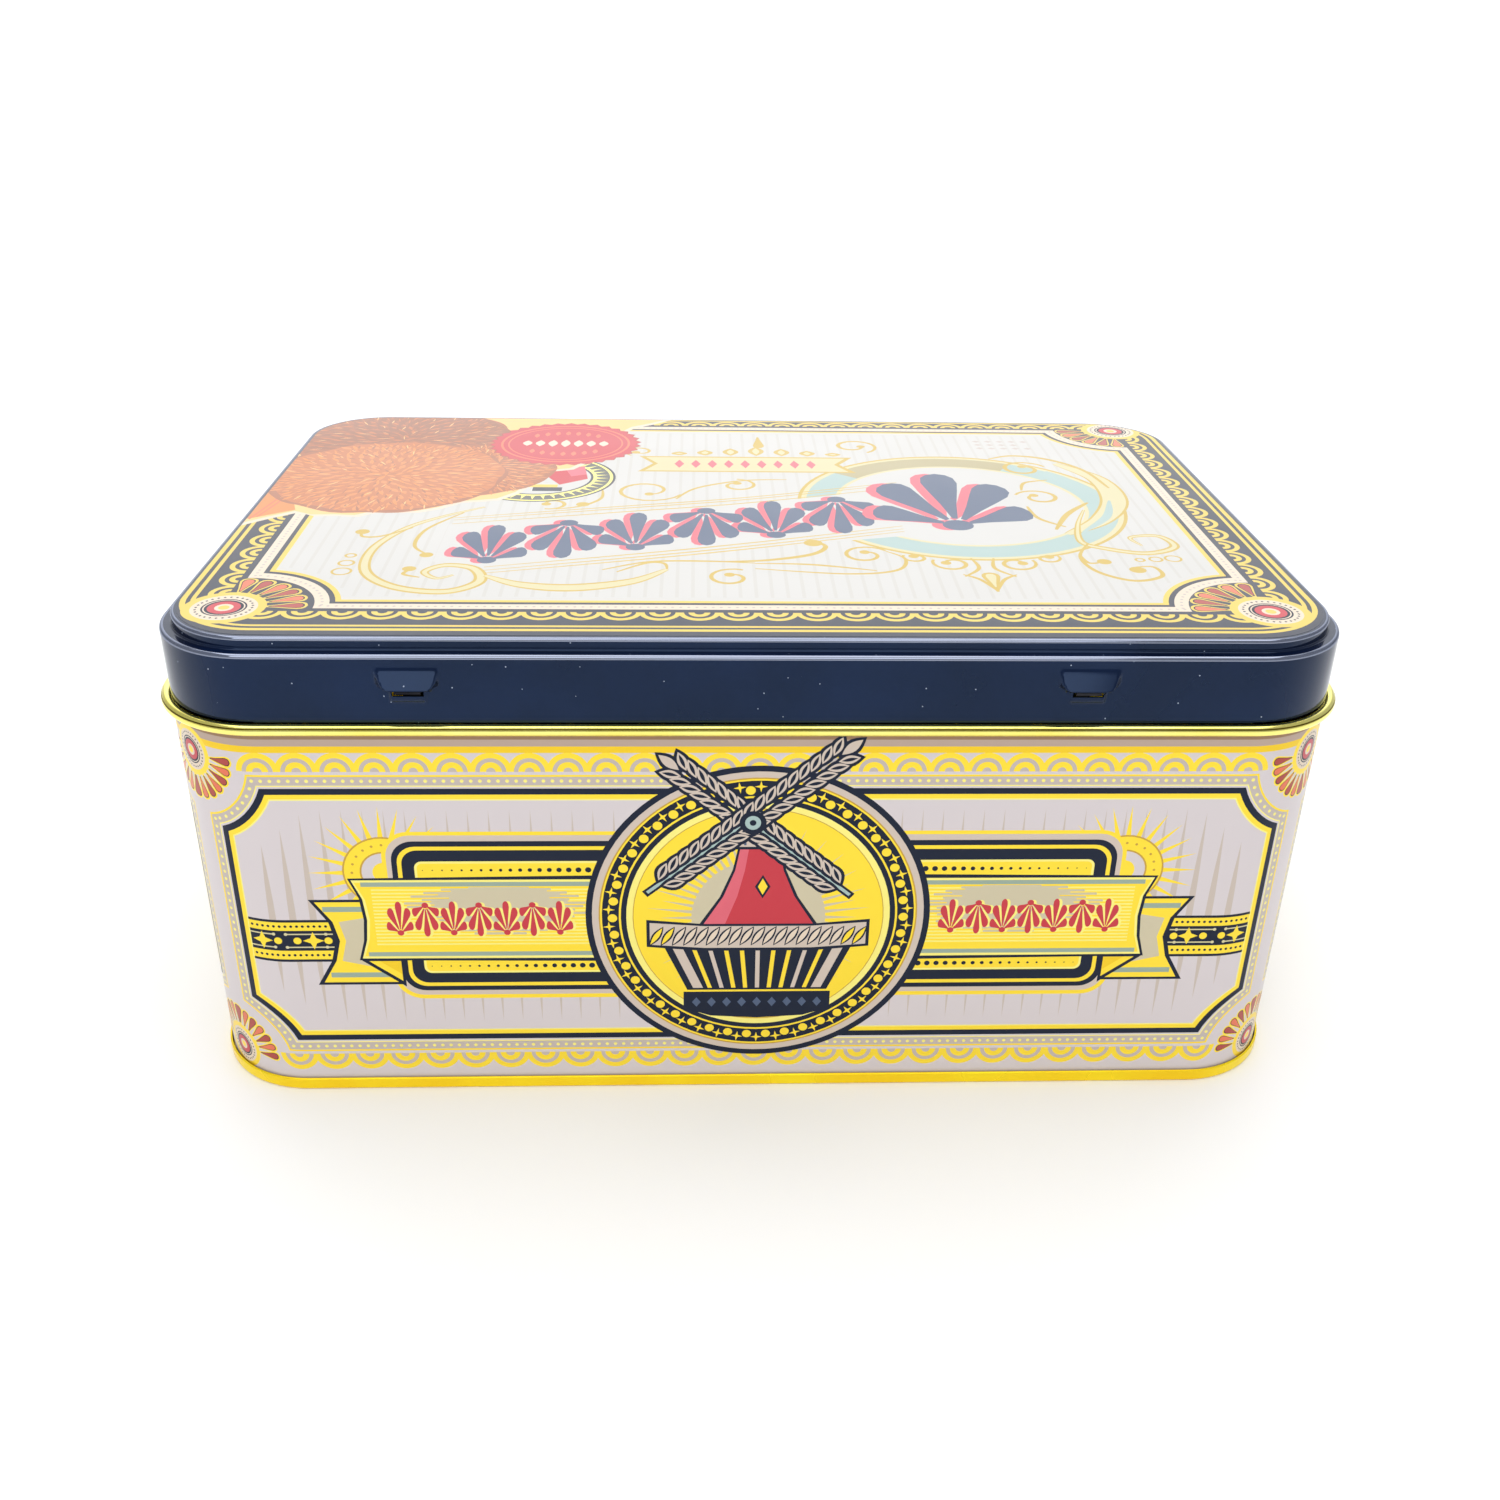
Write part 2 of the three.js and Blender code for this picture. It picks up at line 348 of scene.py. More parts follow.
def skin(maker, rings, slots, open_rear=()):
    """Joins rings into a surface that faces right of its direction of travel."""
    count = len(COLUMNS)
    along = [Vector((-dy, dx, 0)) for _, _, dx, dy in COLUMNS]
    flats = []
    for lower, upper in zip(rings, rings[1:]):
        row = []
        for k in range(count):
            row.append(along[k].cross(upper[k] - lower[k]).normalized())
        flats.append(row)
    closed = (rings[0][0] - rings[-1][0]).length < 1e-6
    for j, row in enumerate(flats):
        below = flats[j - 1] if j or closed else row
        above = flats[(j + 1) % len(flats)] if j + 1 < len(flats) or closed else row
        for k in range(count):
            if k == REAR and j in open_rear:
                continue
            n = (k + 1) % count
            places = (rings[j][k], rings[j][n], rings[j + 1][n], rings[j + 1][k])
            normals = (
                blend(row[k], below[k]),
                blend(row[n], below[n]),
                blend(row[n], above[n]),
                blend(row[k], above[k]),
            )
            maker.face(places, normals, slots[j])


def blend(own, other):
    """The shared normal of two faces, or the face's own across a crisp edge."""
    crisp = 0.7  # cosine of about 45 degrees
    return (own + other).normalized() if own.dot(other) > crisp else own


def cap(maker, ring, slot, up):
    normal = Vector((0, 0, 1 if up else -1))
    places = ring if up else ring[::-1]
    maker.face(places, [normal] * len(places), slot)


def round_line(r, z, radius, start, end, steps):
    """Points of a circular arc in the [r, z] plane, angles in degrees."""
    return [polar(r, z, radius, angle) for angle in spread(start, end, steps)]


def make_wall():
    """Tinplate band with its top edge curled outwards into a gold bead."""
    foot = 0.8
    steps = 40
    groove = 21  # the point of the curl that is pushed in, as a thin groove; its two faces get a darker gold that paints the groove's shade
    bead = round_line(CORNER + BEAD_OUT, BEAD_Z, BEAD_R, -133, 180, steps)
    bead[groove] = polar(CORNER + BEAD_OUT, BEAD_Z, BEAD_R - 0.12, 31.3)
    profile = [(CORNER, foot), (CORNER, 69.95)] + bead
    profile += [(CORNER - SHEET, 69.9), (CORNER - SHEET, foot), (CORNER, foot)]
    # the two faces of the groove carry the painted shade
    slots = [0, 1] + [1] * (groove - 1) + [3] * 2 + [1] * (steps - 1 - groove) + [2] * 3
    maker = Maker()
    skin(maker, [loop(r, z) for r, z in profile], slots)
    materials = [wall_base, gold, inside_gold, gold_painted_shade]
    maker.build("body_wall_tinplate", "body", materials, ["body_wall"])


def make_base():
    """Set-up bottom panel, its countersink, and the seam that grips the wall."""
    c = CORNER
    seam = fillet(
        [(c - 1.1, 1.6), (c - 1.1, 0), (c + 0.62, 0), (c + 0.62, 2.3), (c + 0.25, 2.3),
         (c + 0.25, 1.9)],
        [0.5, 0.55, 0.28, 0.08],
    )
    under = [(c - 9, 1.9), (c - 1.75, 1.9), (c - 1.25, 1.75)]
    inner = [(c + 0.3, 1.8), (c + 0.3, 0.6), (c + 0.15, 0.4), (c - 0.6, 0.4), (c - 0.75, 0.6)]
    inner += [(c - 0.75, 1.5), (c - 0.95, 1.95), (c - 1.45, 2.2), (c - 9, 2.2)]
    profile = under + seam + inner
    slots = [0] * (len(under) + len(seam)) + [1] * (len(inner) - 1)
    rings = [loop(r, z) for r, z in profile]
    maker = Maker()
    skin(maker, rings, slots)
    cap(maker, rings[0], 0, up=False)
    cap(maker, rings[-1], 1, up=True)
    maker.build("base_panel", "body", [base_gold, inside_gold], ["base_plate"])


def make_neck():
    """Collar inside the mouth: it stands on the wall's shoulder and guides the lid."""
    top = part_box("neck_ring")[1].z / MM
    foot = 58
    ledge = 70.1
    r = 16.0
    hx = 93.9 - r
    rear, front = -58.9, 64.2
    hy = (front - rear) / 2 - r
    cy = (front + rear) / 2

    def collar(line):
        return [loop(radius, z, hx, hy, cy) for radius, z in line]

    def wall_side(line):
        return [loop(CORNER - inset, z) for inset, z in line]

    rings = wall_side([(0.4, foot), (0.4, ledge + SHEET)])
    rings += collar([(r + 0.25, ledge + SHEET), (r + 0.06, ledge + SHEET + 0.06)])
    rings += collar([(r, ledge + SHEET + 0.25)] + round_line(r - 0.4, top - 0.42, 0.42, 0, 180, 12))
    rings += collar([(r - 0.8, top - 1.8), (r - SHEET, top - 2.1), (r - SHEET, ledge)])
    rings += wall_side([(0.7, ledge), (0.7, foot), (0.4, foot)])
    maker = Maker()
    skin(maker, rings, [0] * (len(rings) - 1))
    maker.build("neck_collar", "body", [gold], ["neck_ring"])


def ease(t):
    """A smooth step from 0 to 1."""
    t = min(1.0, max(0.0, t))
    return t * t * (3 - 2 * t)


def from_hinge(x):
    """Distance along X to the middle of the nearest hinge slot."""
    return min(abs(x - hinge) for hinge in HINGES)


def swell(x, z):
    """How far the rear skirt is pressed outwards: a wide flap above the slit, a sill below."""
    flap_out, flap_tall, sill_out = 1.45, 3.85, 0.4
    round_off = 0.9  # radius of the flap's lower corners
    away = from_hinge(x)
    level = z - HINGE_Z
    above = max(0.0, level - SLIT_HIGH)
    half = 4.75 + 0.23 * above
    half -= round_off - math.sqrt(round_off**2 - (round_off - min(round_off, above)) ** 2)
    slope = max(0.0, 1 - above / flap_tall)
    slope = slope * slope / 0.6 if slope < 0.3 else slope - 0.15
    flap = flap_out * min(1.0, max(0.0, (level - 0.3) / 0.65)) * slope / 0.85
    sill = sill_out * ease((level + 1.9) / 1.3) * ease((SLIT_HIGH - level) / 0.6)
    return max(flap * ease((half - away) / 1.1), sill * ease((3.2 - away) / 0.8))


def skirt_columns():
    """Grid lines along X, close together round each hinge slot."""
    left, right = ([hinge - 6.0 + 0.4 * k for k in range(31)] for hinge in HINGES)
    return [-CX, -70.0] + left + [-30.0, 0.0, 30.0] + right + [70.0, CX]


def skirt_rows(top):
    """Grid lines in height, with the slit's two edges among them."""
    levels = (-1.9, -1.6, -1.3, -1.0, -0.7, SLIT_LOW, 0.3, 0.5, 0.72, SLIT_HIGH, 1.1, 1.3, 1.6, 1.95,
              2.4, 2.9, 3.4, 3.9, 4.35, 4.8)
    return [FOOT, 73.5] + [HINGE_Z + level for level in levels] + [top]


def in_slit(x, z):
    return from_hinge(x) < SLIT_HALF and SLIT_LOW < z - HINGE_Z < SLIT_HIGH


def skirt_face(maker, y, top, slot, facing):
    """The straight rear skirt as a grid, pressed out at the flaps and open at the slits."""
    xs = skirt_columns()
    zs = skirt_rows(top)
    for x0, x1 in zip(xs, xs[1:]):
        for z0, z1 in zip(zs, zs[1:]):
            middle = Vector(((x0 + x1) / 2, 0, (z0 + z1) / 2))
            if in_slit(middle.x, middle.z):
                continue
            places = []
            normals = []
            for x, z in ((x0, z0), (x1, z0), (x1, z1), (x0, z1)):
                places.append(Vector((x, y - swell(x, z), z)))
                spot = Vector((x, 0, z)).lerp(middle, 0.1)
                normals.append(skirt_normal(spot.x, spot.z) * facing)
            maker.face(places[::facing], normals[::facing], slot)


def skirt_normal(x, z):
    step = 0.02
    across = (swell(x + step, z) - swell(x - step, z)) / (2 * step)
    up = (swell(x, z + step) - swell(x, z - step)) / (2 * step)
    return Vector((-across, -1, -up)).normalized()


def slit_edges(maker, y, slot):
    """Cut edge of the sheet around each slit."""
    for hinge in HINGES:
        xs = [x for x in skirt_columns() if abs(x - hinge) < SLIT_HALF + 0.1]
        rim = [(x, HINGE_Z + SLIT_LOW) for x in xs]
        rim += [(x, HINGE_Z + SLIT_HIGH) for x in reversed(xs)]
        for (x0, z0), (x1, z1) in zip(rim, rim[1:] + rim[:1]):
            a = Vector((x0, y - swell(x0, z0), z0))
            b = Vector((x1, y - swell(x1, z1), z1))
            depth = Vector((0, SHEET, 0))
            normal = depth.cross(b - a).normalized()
            maker.face((a, b, b + depth, a + depth), [normal] * 4, slot)


def make_lid():
    """Raised panel, shelf and skirt, navy outside and gold lacquered inside."""
    c = CORNER
    p = PANEL
    rim = FOOT + 0.3
    crown = TOP - 0.03  # the printed sheet lies on this and reaches the full height
    steps = 10
    outside = [(c, rim), (c, SHELF), (p, SHELF), (p, crown), (c - 9, crown)]
    outside = fillet(outside, [0.65, 0.45, 0.55], steps)
    inside = [(c - 9, TOP - SHEET), (p - SHEET, TOP - SHEET), (p - SHEET, SHELF - SHEET)]
    inside = fillet(inside + [(c - SHEET, SHELF - SHEET), (c - SHEET, rim)], [0.25, 0.7, 0.35])
    hem = [(c, rim), (c, FOOT + 0.1), (c - 0.1, FOOT), (c - 0.2, FOOT), (c - SHEET, FOOT + 0.1)]
    maker = Maker()
    rings = [loop(r, z) for r, z in outside]
    edge = [2] * steps  # both outer edges have the glassier lacquer
    skin(maker, rings, [0] + edge + [0] * (steps + 2) + edge + [0], open_rear=(0,))
    cap(maker, rings[-1], 0, up=True)
    under = [loop(r, z) for r, z in inside]
    skin(maker, under, [1] * (len(under) - 1), open_rear=(len(under) - 2,))
    cap(maker, under[0], 1, up=False)
    turn = [loop(r, z) for r, z in hem + [(c - SHEET, rim)]]
    skin(maker, turn[::-1], [0] * 5, open_rear=(4, 0))
    skirt_face(maker, -HALF_Y, outside[1][1], 0, 1)
    skirt_face(maker, -HALF_Y + SHEET, inside[-2][1], 1, -1)
    slit_edges(maker, -HALF_Y, 0)
    maker.build("lid_shell", "lid", [navy_gloss, inside_gold, navy_edge], ["lid"])


make_wall()
make_base()
make_neck()
make_lid()


def dress(node, made):
    """Gives a carried-over CAD node its finished material."""
    for item in bpy.data.objects:
        if item.name.split(".")[0] == node and item.type == "MESH":
            item.data.materials.clear()
            item.data.materials.append(made)


for side in ("left", "right"):
    dress("hinge_tongue_" + side, tongue_steel_painted_shade)


# ---- flat shapes for the printed artwork ----
def arc(x, y, r, start, end):
    """Points of a circular arc, angles in degrees."""
    stray = 0.02  # how far a straight piece may lie inside the true arc
    full = math.pi / math.acos(1 - min(stray / r, 0.25))
    steps = max(2, math.ceil(full * abs(end - start) / 360))
    return [polar(x, y, r, angle) for angle in spread(start, end, steps)]


def disc(x, y, r):
    return arc(x, y, r, 0, 360)[:-1]


def hollow(outer, inner):
    """A closed outline with a hole, cut open along one seam."""
    return outer + [outer[0], inner[0]] + inner[:0:-1] + [inner[0]]


def box(x0, y0, x1, y1):
    return [(x0, y0), (x1, y0), (x1, y1), (x0, y1)]


def rounded(x0, y0, x1, y1, r):
    made = arc(x1 - r, y1 - r, r, 0, 90) + arc(x0 + r, y1 - r, r, 90, 180)
    return made + arc(x0 + r, y0 + r, r, 180, 270) + arc(x1 - r, y0 + r, r, 270, 360)


def moved(points, dx, dy=0.0):
    return [(x + dx, y + dy) for x, y in points]


def symmetric(half):
    """An outline from its left or right half."""
    return half + [(-x, y) for x, y in reversed(half)]


def notched(a, b, cx, cy, r, x=0.0, y=0.0):
    """A rectangle whose corners are scooped out around four corner points."""
    low = math.degrees(math.atan2(-math.sqrt(r * r - (a - cx) ** 2), a - cx))
    high = math.degrees(math.atan2(b - cy, -math.sqrt(r * r - (b - cy) ** 2)))
    high -= 360 if high > 0 else 0
    upper = symmetric(arc(cx, cy, r, low, high))
    return moved(upper + [(-u, -v) for u, v in upper], x, y)


def turned(points, x, y, angle=0.0):
    """Points moved to (x, y) after a turn in degrees."""
    c = math.cos(math.radians(angle))
    s = math.sin(math.radians(angle))
    return [(x + u * c - v * s, y + u * s + v * c) for u, v in points]


def lens(x, y, length, width, angle):
    """A leaf with two pointed ends."""
    side = [(length * (k / 8 - 0.5), width / 2 * math.sin(math.pi * k / 8)) for k in range(9)]
    return turned(side + [(u, -v) for u, v in side[-2:0:-1]], x, y, angle)


PETAL = ((0.0, 0.14), (0.3, 0.42), (0.6, 0.8), (0.78, 1.0), (0.9, 0.9), (0.97, 0.55), (1.0, 0.0))


def petal(x, y, angle, near, far, width):
    """A teardrop that points at (x, y) and swells outwards."""
    side = [(near + (far - near) * t, width / 2 * w) for t, w in PETAL]
    return turned(side[::-1] + [(u, -v) for u, v in side[:-1]], x, y, angle)


def diamond(x, y, wide, tall):
    return [(x + wide / 2, y), (x, y + tall / 2), (x - wide / 2, y), (x, y - tall / 2)]


def star(x, y, points, outer, inner, turn=90.0):
    tips = [(inner if k % 2 else outer, turn + 180 * k / points) for k in range(2 * points)]
    return [polar(x, y, r, angle) for r, angle in tips]


def ribbon(line, width, taper=0.0):
    """Small four-sided patches that follow a line, thinner towards its ends when tapered."""
    sides = []
    last = len(line) - 1
    for k, (x, y) in enumerate(line):
        x0, y0 = line[max(k - 1, 0)]
        x1, y1 = line[min(k + 1, last)]
        long = math.hypot(x1 - x0, y1 - y0) or 1.0
        half = width / 2 * (1 - taper + taper * math.sin(math.pi * k / last))
        dx, dy = -(y1 - y0) / long * half, (x1 - x0) / long * half
        sides.append(((x + dx, y + dy), (x - dx, y - dy)))
    return [[a[0], a[1], b[1], b[0]] for a, b in zip(sides, sides[1:])]


def scroll(x, y, r0, r1, start, end, steps=22):
    """A spiral line from radius r0 to r1, angles in degrees."""
    turns = zip(spread(r0, r1, steps), spread(start, end, steps))
    return [polar(x, y, r, angle) for r, angle in turns]


def bow(points, steps=14):
    """A smooth curve through the given points."""
    made = []
    ends = [points[0]] + list(points) + [points[-1]]
    for a, b, c, d in zip(ends, ends[1:], ends[2:], ends[3:]):
        for k in range(steps):
            t = k / steps
            spot = []
            for i in (0, 1):
                m, n = (c[i] - a[i]) / 2, (d[i] - b[i]) / 2
                cube = 2 * b[i] - 2 * c[i] + m + n
                spot.append(b[i] + t * (m + t * (3 * c[i] - 3 * b[i] - 2 * m - n + t * cube)))
            made.append(tuple(spot))
    return made + [points[-1]]


def area(points):
    total = 0.0
    for (x0, y0), (x1, y1) in zip(points, points[1:] + points[:1]):
        total += x0 * y1 - x1 * y0
    return total / 2


def inside(x, y, outline):
    """True when (x, y) lies within the outline."""
    found = False
    x0, y0 = outline[-1]
    for x1, y1 in outline:
        if (y0 > y) != (y1 > y) and x < x0 + (x1 - x0) * (y - y0) / (y1 - y0):
            found = not found
        x0, y0 = x1, y1
    return found


class Board:
    """Artwork in painter's order, cut into one sheet with one ink on each face."""

    def __init__(self, outline, colour, creases=()):
        self.shapes = []
        self.creases = creases
        self.add(colour, outline)

    def add(self, colour, *outlines):
        for outline in outlines:
            points = [(round(x, 3), round(y, 3)) for x, y in outline]
            self.shapes.append((colour, points if area(points) > 0 else points[::-1]))

    def both(self, colour, *outlines):
        """The same shapes on the left and, mirrored, on the right."""
        self.add(colour, *outlines)
        self.add(colour, *[[(-x, y) for x, y in outline] for outline in outlines])

    def cut(self):
        """Points and triangles, each triangle with the ink that is on top there."""
        points = []
        faces = []
        edges = []
        for _, outline in self.shapes:
            start = len(points)
            points.extend(Vector(p) for p in outline)
            faces.append(list(range(start, len(points))))
        for a, b in self.creases:
            edges.append((len(points), len(points) + 1))
            points.extend((Vector(a), Vector(b)))
        made = delaunay_2d_cdt(points, edges, faces, 0, 1e-4, True)
        kept = []
        for corners, owners in zip(made[2], made[5]):
            if 0 not in owners:
                continue
            a, b, c = (made[0][k] for k in corners)
            spot = (a + b + c) / 3
            for owner in sorted(owners, reverse=True):
                colour, outline = self.shapes[owner]
                if inside(spot.x, spot.y, outline):
                    break
            kept.append((tuple(corners), colour))
        return made[0], kept


def printed(name, body, sheets):
    """One mesh from cut boards, each with a function that places its points."""
    inks = []
    points = []
    normals = []
    faces = []
    slots = []
    for (flat, triangles), place in sheets:
        start = len(points)
        for spot in flat:
            where, normal = place(spot.x, spot.y)
            points.append([v * MM for v in where])
            normals.append(normal)
        for corners, colour in triangles:
            if colour not in inks:
                inks.append(colour)
            faces.append([start + k for k in corners])
            slots.append(inks.index(colour))
    materials = [INKS[colour] for colour in inks]
    piece = add_piece(name, body, points, faces, materials, slots)
    piece.data.normals_split_custom_set_from_vertices(normals)


# ---- wall artwork ----
MIDDLE = 35.2  # height of the artwork's centre line
QUARTER = CORNER * math.pi / 2


def wall_place(turn, half):
    """Places (s, z) on one side of the wall: straight for |s| up to half, then round the corner."""
    lift = 0.02
    heading = Matrix.Rotation(math.radians(turn), 3, "Z")
    reach = (CY if half == CX else CX) + CORNER

    def place(s, z):
        past = max(-QUARTER, min(QUARTER, max(0.0, abs(s) - half) * (1 if s > 0 else -1)))
        angle = past / CORNER
        normal = Vector((math.sin(angle), -math.cos(angle), 0))
        flat = max(-half, min(half, s))
        spot = Vector((flat, -(reach - CORNER), z)) + normal * (CORNER + lift)
        return heading @ spot, heading @ normal

    return place


def corner_creases(half):
    """Lines across the artwork where the wall bends, so that the sheet can follow it."""
    low, high = 1.5, 70.0
    made = []
    for k in range(11):
        s = half + QUARTER / 2 * k / 10
        made += [((s, low), (s, high)), ((-s, low), (-s, high))]
    return made


def discs(board, x, y, *rings):
    """Discs on one centre, each a (colour, radius), the largest first."""
    for colour, r in rings:
        board.add(colour, disc(x, y, r))


def scales(board, spots, facing, inks, radii):
    """Half rings at the given points, like fish scales, in two inks by turns."""
    for x, y in spots:
        for k, r in enumerate(radii):
            board.add(inks[k % 2], arc(x, y, r, facing - 90, facing + 90))


def scallops(board, reach, z, facing):
    """A row of scales along the wall, every second one on top of its neighbours."""
    pitch = 6.13
    spots = [(s, z) for s in spread(-reach, reach, max(2, round(2 * reach / pitch)))]
    for row in (spots[::2], spots[1::2]):
        scales(board, row, facing, ("gold", "shade"), (3.4, 2.45, 1.75, 0.75))


def rosette(board, x, y, size, first, last, gold_ink):
    """Target rings with a fan of petals between two angles."""
    step = 15  # degrees from petal to petal
    angles = spread(first, last, round((last - first) / step))

    def leaf(colour, angle, near, far, width):
        board.add(colour, petal(x, y, angle, near * size, far * size, width * size))

    for angle in angles:
        leaf(gold_ink, angle, 4.0, 8.7, 2.0)
    for k, angle in enumerate(angles):
        leaf("navy", angle, 4.6, 8.4, 1.45)
        leaf("coral" if k % 2 else "rust", angle, 4.9, 8.25, 1.2)
    discs(board, x, y, (gold_ink, 4.4 * size), ("cream", 3.5 * size))
    for k in range(28):
        spot = polar(x, y, 2.95 * size, 360 * k / 28)
        board.add("navy", diamond(*spot, 0.36 * size, 0.36 * size))
    target = (("navy", 2.4), ("cream", 2.2), ("navy", 2.05), ("red", 1.75), ("cream", 1.0))
    discs(board, x, y, *[(colour, r * size) for colour, r in target])
    board.add(gold_ink, disc(x, y, 0.6 * size))


def corner_rosettes(board, x, y, dx, dy, firsts, fan, size, gold_ink):
    """A rosette in each corner; firsts holds the angle where each one's fan begins."""
    corners = ((-1, -1), (-1, 1), (1, -1), (1, 1))
    for (sx, sy), first in zip(corners, firsts):
        rosette(board, x + sx * dx, y + sy * dy, size, first, first + fan, gold_ink)


def dotted(board, colour, x0, x1, y, pitch, r):
    for x in spread(x0, x1, max(1, round((x1 - x0) / pitch))):
        board.add(colour, disc(x, y, r))


def needles(board, half_length):
    """Tall faint spindles behind the cartouche, shorter near the border."""
    pitch = 3.33
    count = int((half_length - 3) / pitch)
    for k in range(-count, count + 1):
        edge = half_length - abs(pitch * k)
        tall = 42.0 - 1.7 * max(0.0, 12 - edge)
        board.add("needle", lens(pitch * k, MIDDLE, tall, 1.15, 90))


# the notched border of a side: half height, height of its corners above MIDDLE, their radius
FRAME_HALF, FRAME_CORNER, FRAME_R = 29.65, 29.3, 8.45


def wall_frame(board, edge):
    """Border lines, dots and scallops of one side that reaches from -edge to edge; its brown and taupe
    bands at the top paint the bead's shade and reflection on the wall.

    Corner rosettes stand on the middle of the rounded corners."""
    # the brown and taupe bands just under the bead are painted shade and reflection of the bead; the
    # deep gold line is print
    for colour, low, high in (("brown", 68.7, 70.0), ("taupe", 67.5, 68.7), ("deep_gold", 66.35, 67.5)):
        board.add(colour, box(-edge, low, edge, high))
    scallops(board, edge - 12.7, 63.0, 90)
    scallops(board, edge - 12.3, 7.4, 270)

    def outline(inset):
        half = FRAME_HALF - inset
        return notched(edge - inset, half, edge, FRAME_CORNER, FRAME_R + inset, 0, MIDDLE)

    for colour, near, far in (
        ("gold", 2.4, 2.75),
        ("shade", 2.75, 4.3),
        ("pale_gold", 4.3, 4.5),
        ("navy", 4.85, 5.95),
        ("gold", 5.95, 6.75),
        ("pale_gold", 6.75, 7.0),
    ):
        board.add(colour, hollow(outline(near), outline(far)))
    frame_dots(board, edge)
    corner_rosettes(board, 0, MIDDLE, edge, FRAME_CORNER, (2, -88, 92, -178), 86, 1.0, "gold")


def frame_dots(board, edge):
    """Fine dots that follow the notched border."""
    inset, pitch, size = 3.5, 1.42, 0.31
    a = edge - inset
    b = FRAME_HALF - inset
    r = FRAME_R + inset
    reach_x = edge - math.sqrt(r * r - (b - FRAME_CORNER) ** 2)
    reach_y = FRAME_CORNER - math.sqrt(r * r - (a - edge) ** 2)
    spots = [(x, b) for x in spread(-reach_x, reach_x, round(2 * reach_x / pitch))]
    spots += [(a, y) for y in spread(-reach_y, reach_y, round(2 * reach_y / pitch))]
    for k in range(1, 12):
        x, y = polar(edge, FRAME_CORNER, -r, 90 * k / 12)
        if x < a - 0.4 and y < b - 0.4:
            spots += [(x, y), (x, -y)]
    for x, y in spots:
        board.add("pale_gold", disc(x, MIDDLE + y, size), disc(-x, MIDDLE - y, size))


def side_band(board, s0, s1):
    """Narrow strip with stars and balls between border and ribbon."""
    for colour, low, high in (("navy", 26.85, 35.25), ("gold", 27.35, 34.75), ("navy", 29.1, 33.1)):
        board.both(colour, box(-s1, low, -s0, high))
    for z in (33.95, 28.2):
        for k in range(round((s1 - s0) / 0.95)):
            board.both("navy", disc(-s1 + 0.6 + 0.95 * k, z, 0.26))
    for z in (32.4, 29.8):
        for start, end in ((-s1, -s1 + 4.4), (-s1 + 6, -s0)):
            board.both("veil", box(start, z - 0.12, end, z + 0.12))
        board.both("veil", *[disc(-s, z, 0.3) for s in (80.2, 78.2, 71.6)])
    board.both("gold", *[star(-s, 31.1, 4, 1.75, 0.72) for s in (82.25, 73.75)])
    board.both("gold", *[disc(-s, 31.1, 0.68) for s in (79.6, 76.4, 71.3)])


def sunburst(board, x, y):
    """Half-hidden sun at the upper corners of the cartouche."""
    board.both("gold", *[ray(x, y, 15 * k, 6.4, 12.3, 0.9) for k in range(24)])
    for colour, r in (("ochre", 6.75), ("gold", 6.45), ("ochre", 3.95), ("ground", 3.65)):
        board.both(colour, disc(x, y, r))
    board.both("ochre", *[disc(*polar(x, y, 5.2, 18 * k), 0.24) for k in range(20)])
    board.both("gold", disc(x, y, 1.9))


def ray(x, y, angle, near, far, width):
    return turned([(near, -width / 2), (far, 0), (near, width / 2)], x, y, angle)


def cartouche(board):
    """Rounded frame behind the ribbons, drawn from the left edge to the medallion."""
    for colour, left, low, high, r in (
        ("gold", 61.0, 19.1, 52.1, 4.6),
        ("warm_grey", 60.3, 19.9, 51.4, 4.0),
        ("navy", 59.5, 20.8, 50.3, 3.6),
        ("gold", 58.6, 21.7, 49.3, 3.0),
        ("navy", 57.9, 22.4, 48.6, 2.6),
        ("pale_gold", 55.9, 24.4, 46.5, 1.2),
        ("gold", 55.5, 24.8, 46.1, 0.9),
    ):
        board.both(colour, rounded(-left, low, -10, high, r))
    for k, r in enumerate(spread(0.1, 0.52, 17)):
        board.both("navy", disc(-54.6 + 1.58 * k, 44.8, r), disc(-54.6 + 1.58 * k, 25.8, r))


RIBBON_END = [(-66.4, 43.3), (-64.9, 39.5), (-64.5, 35.2), (-64.9, 31.0), (-66.0, 27.1)]
TAIL_OUTLINE = [(-73.2, 39.2), (-70.4, 34.8), (-69.6, 31.0), (-70.6, 27.0), (-73.4, 22.1)]
TAIL_END = [(-72.8, 38.7), (-70.2, 34.8), (-69.4, 31.0), (-70.4, 27.0), (-72.9, 22.6)]


def ribbon_tail(board):
    """Folded end of the ribbon, behind the main panel."""
    right = -59.6
    board.both("navy", moved(TAIL_OUTLINE, -0.55) + [(-59.2, 22.1), (-59.2, 39.2)])
    board.both("gold", TAIL_END + [(right, 22.6), (right, 38.7)])
    board.both("khaki", moved(TAIL_END[1:4], 1.0) + [(right, 24.6), (right, 36.6)])
    for z in (37.3, 24.1):
        board.both("teal", box(-71.6, z - 0.5, right, z + 0.5))
    board.both("navy", [(-66.5, 27.3), (-59.2, 27.3), (-59.2, 21.6)])
    board.both("gold", [(-65.0, 26.9), (-59.7, 26.9), (-59.7, 22.8)])
    board.both("deep_gold", [(-63.2, 26.9), (-59.7, 26.9), (-59.7, 24.2)])


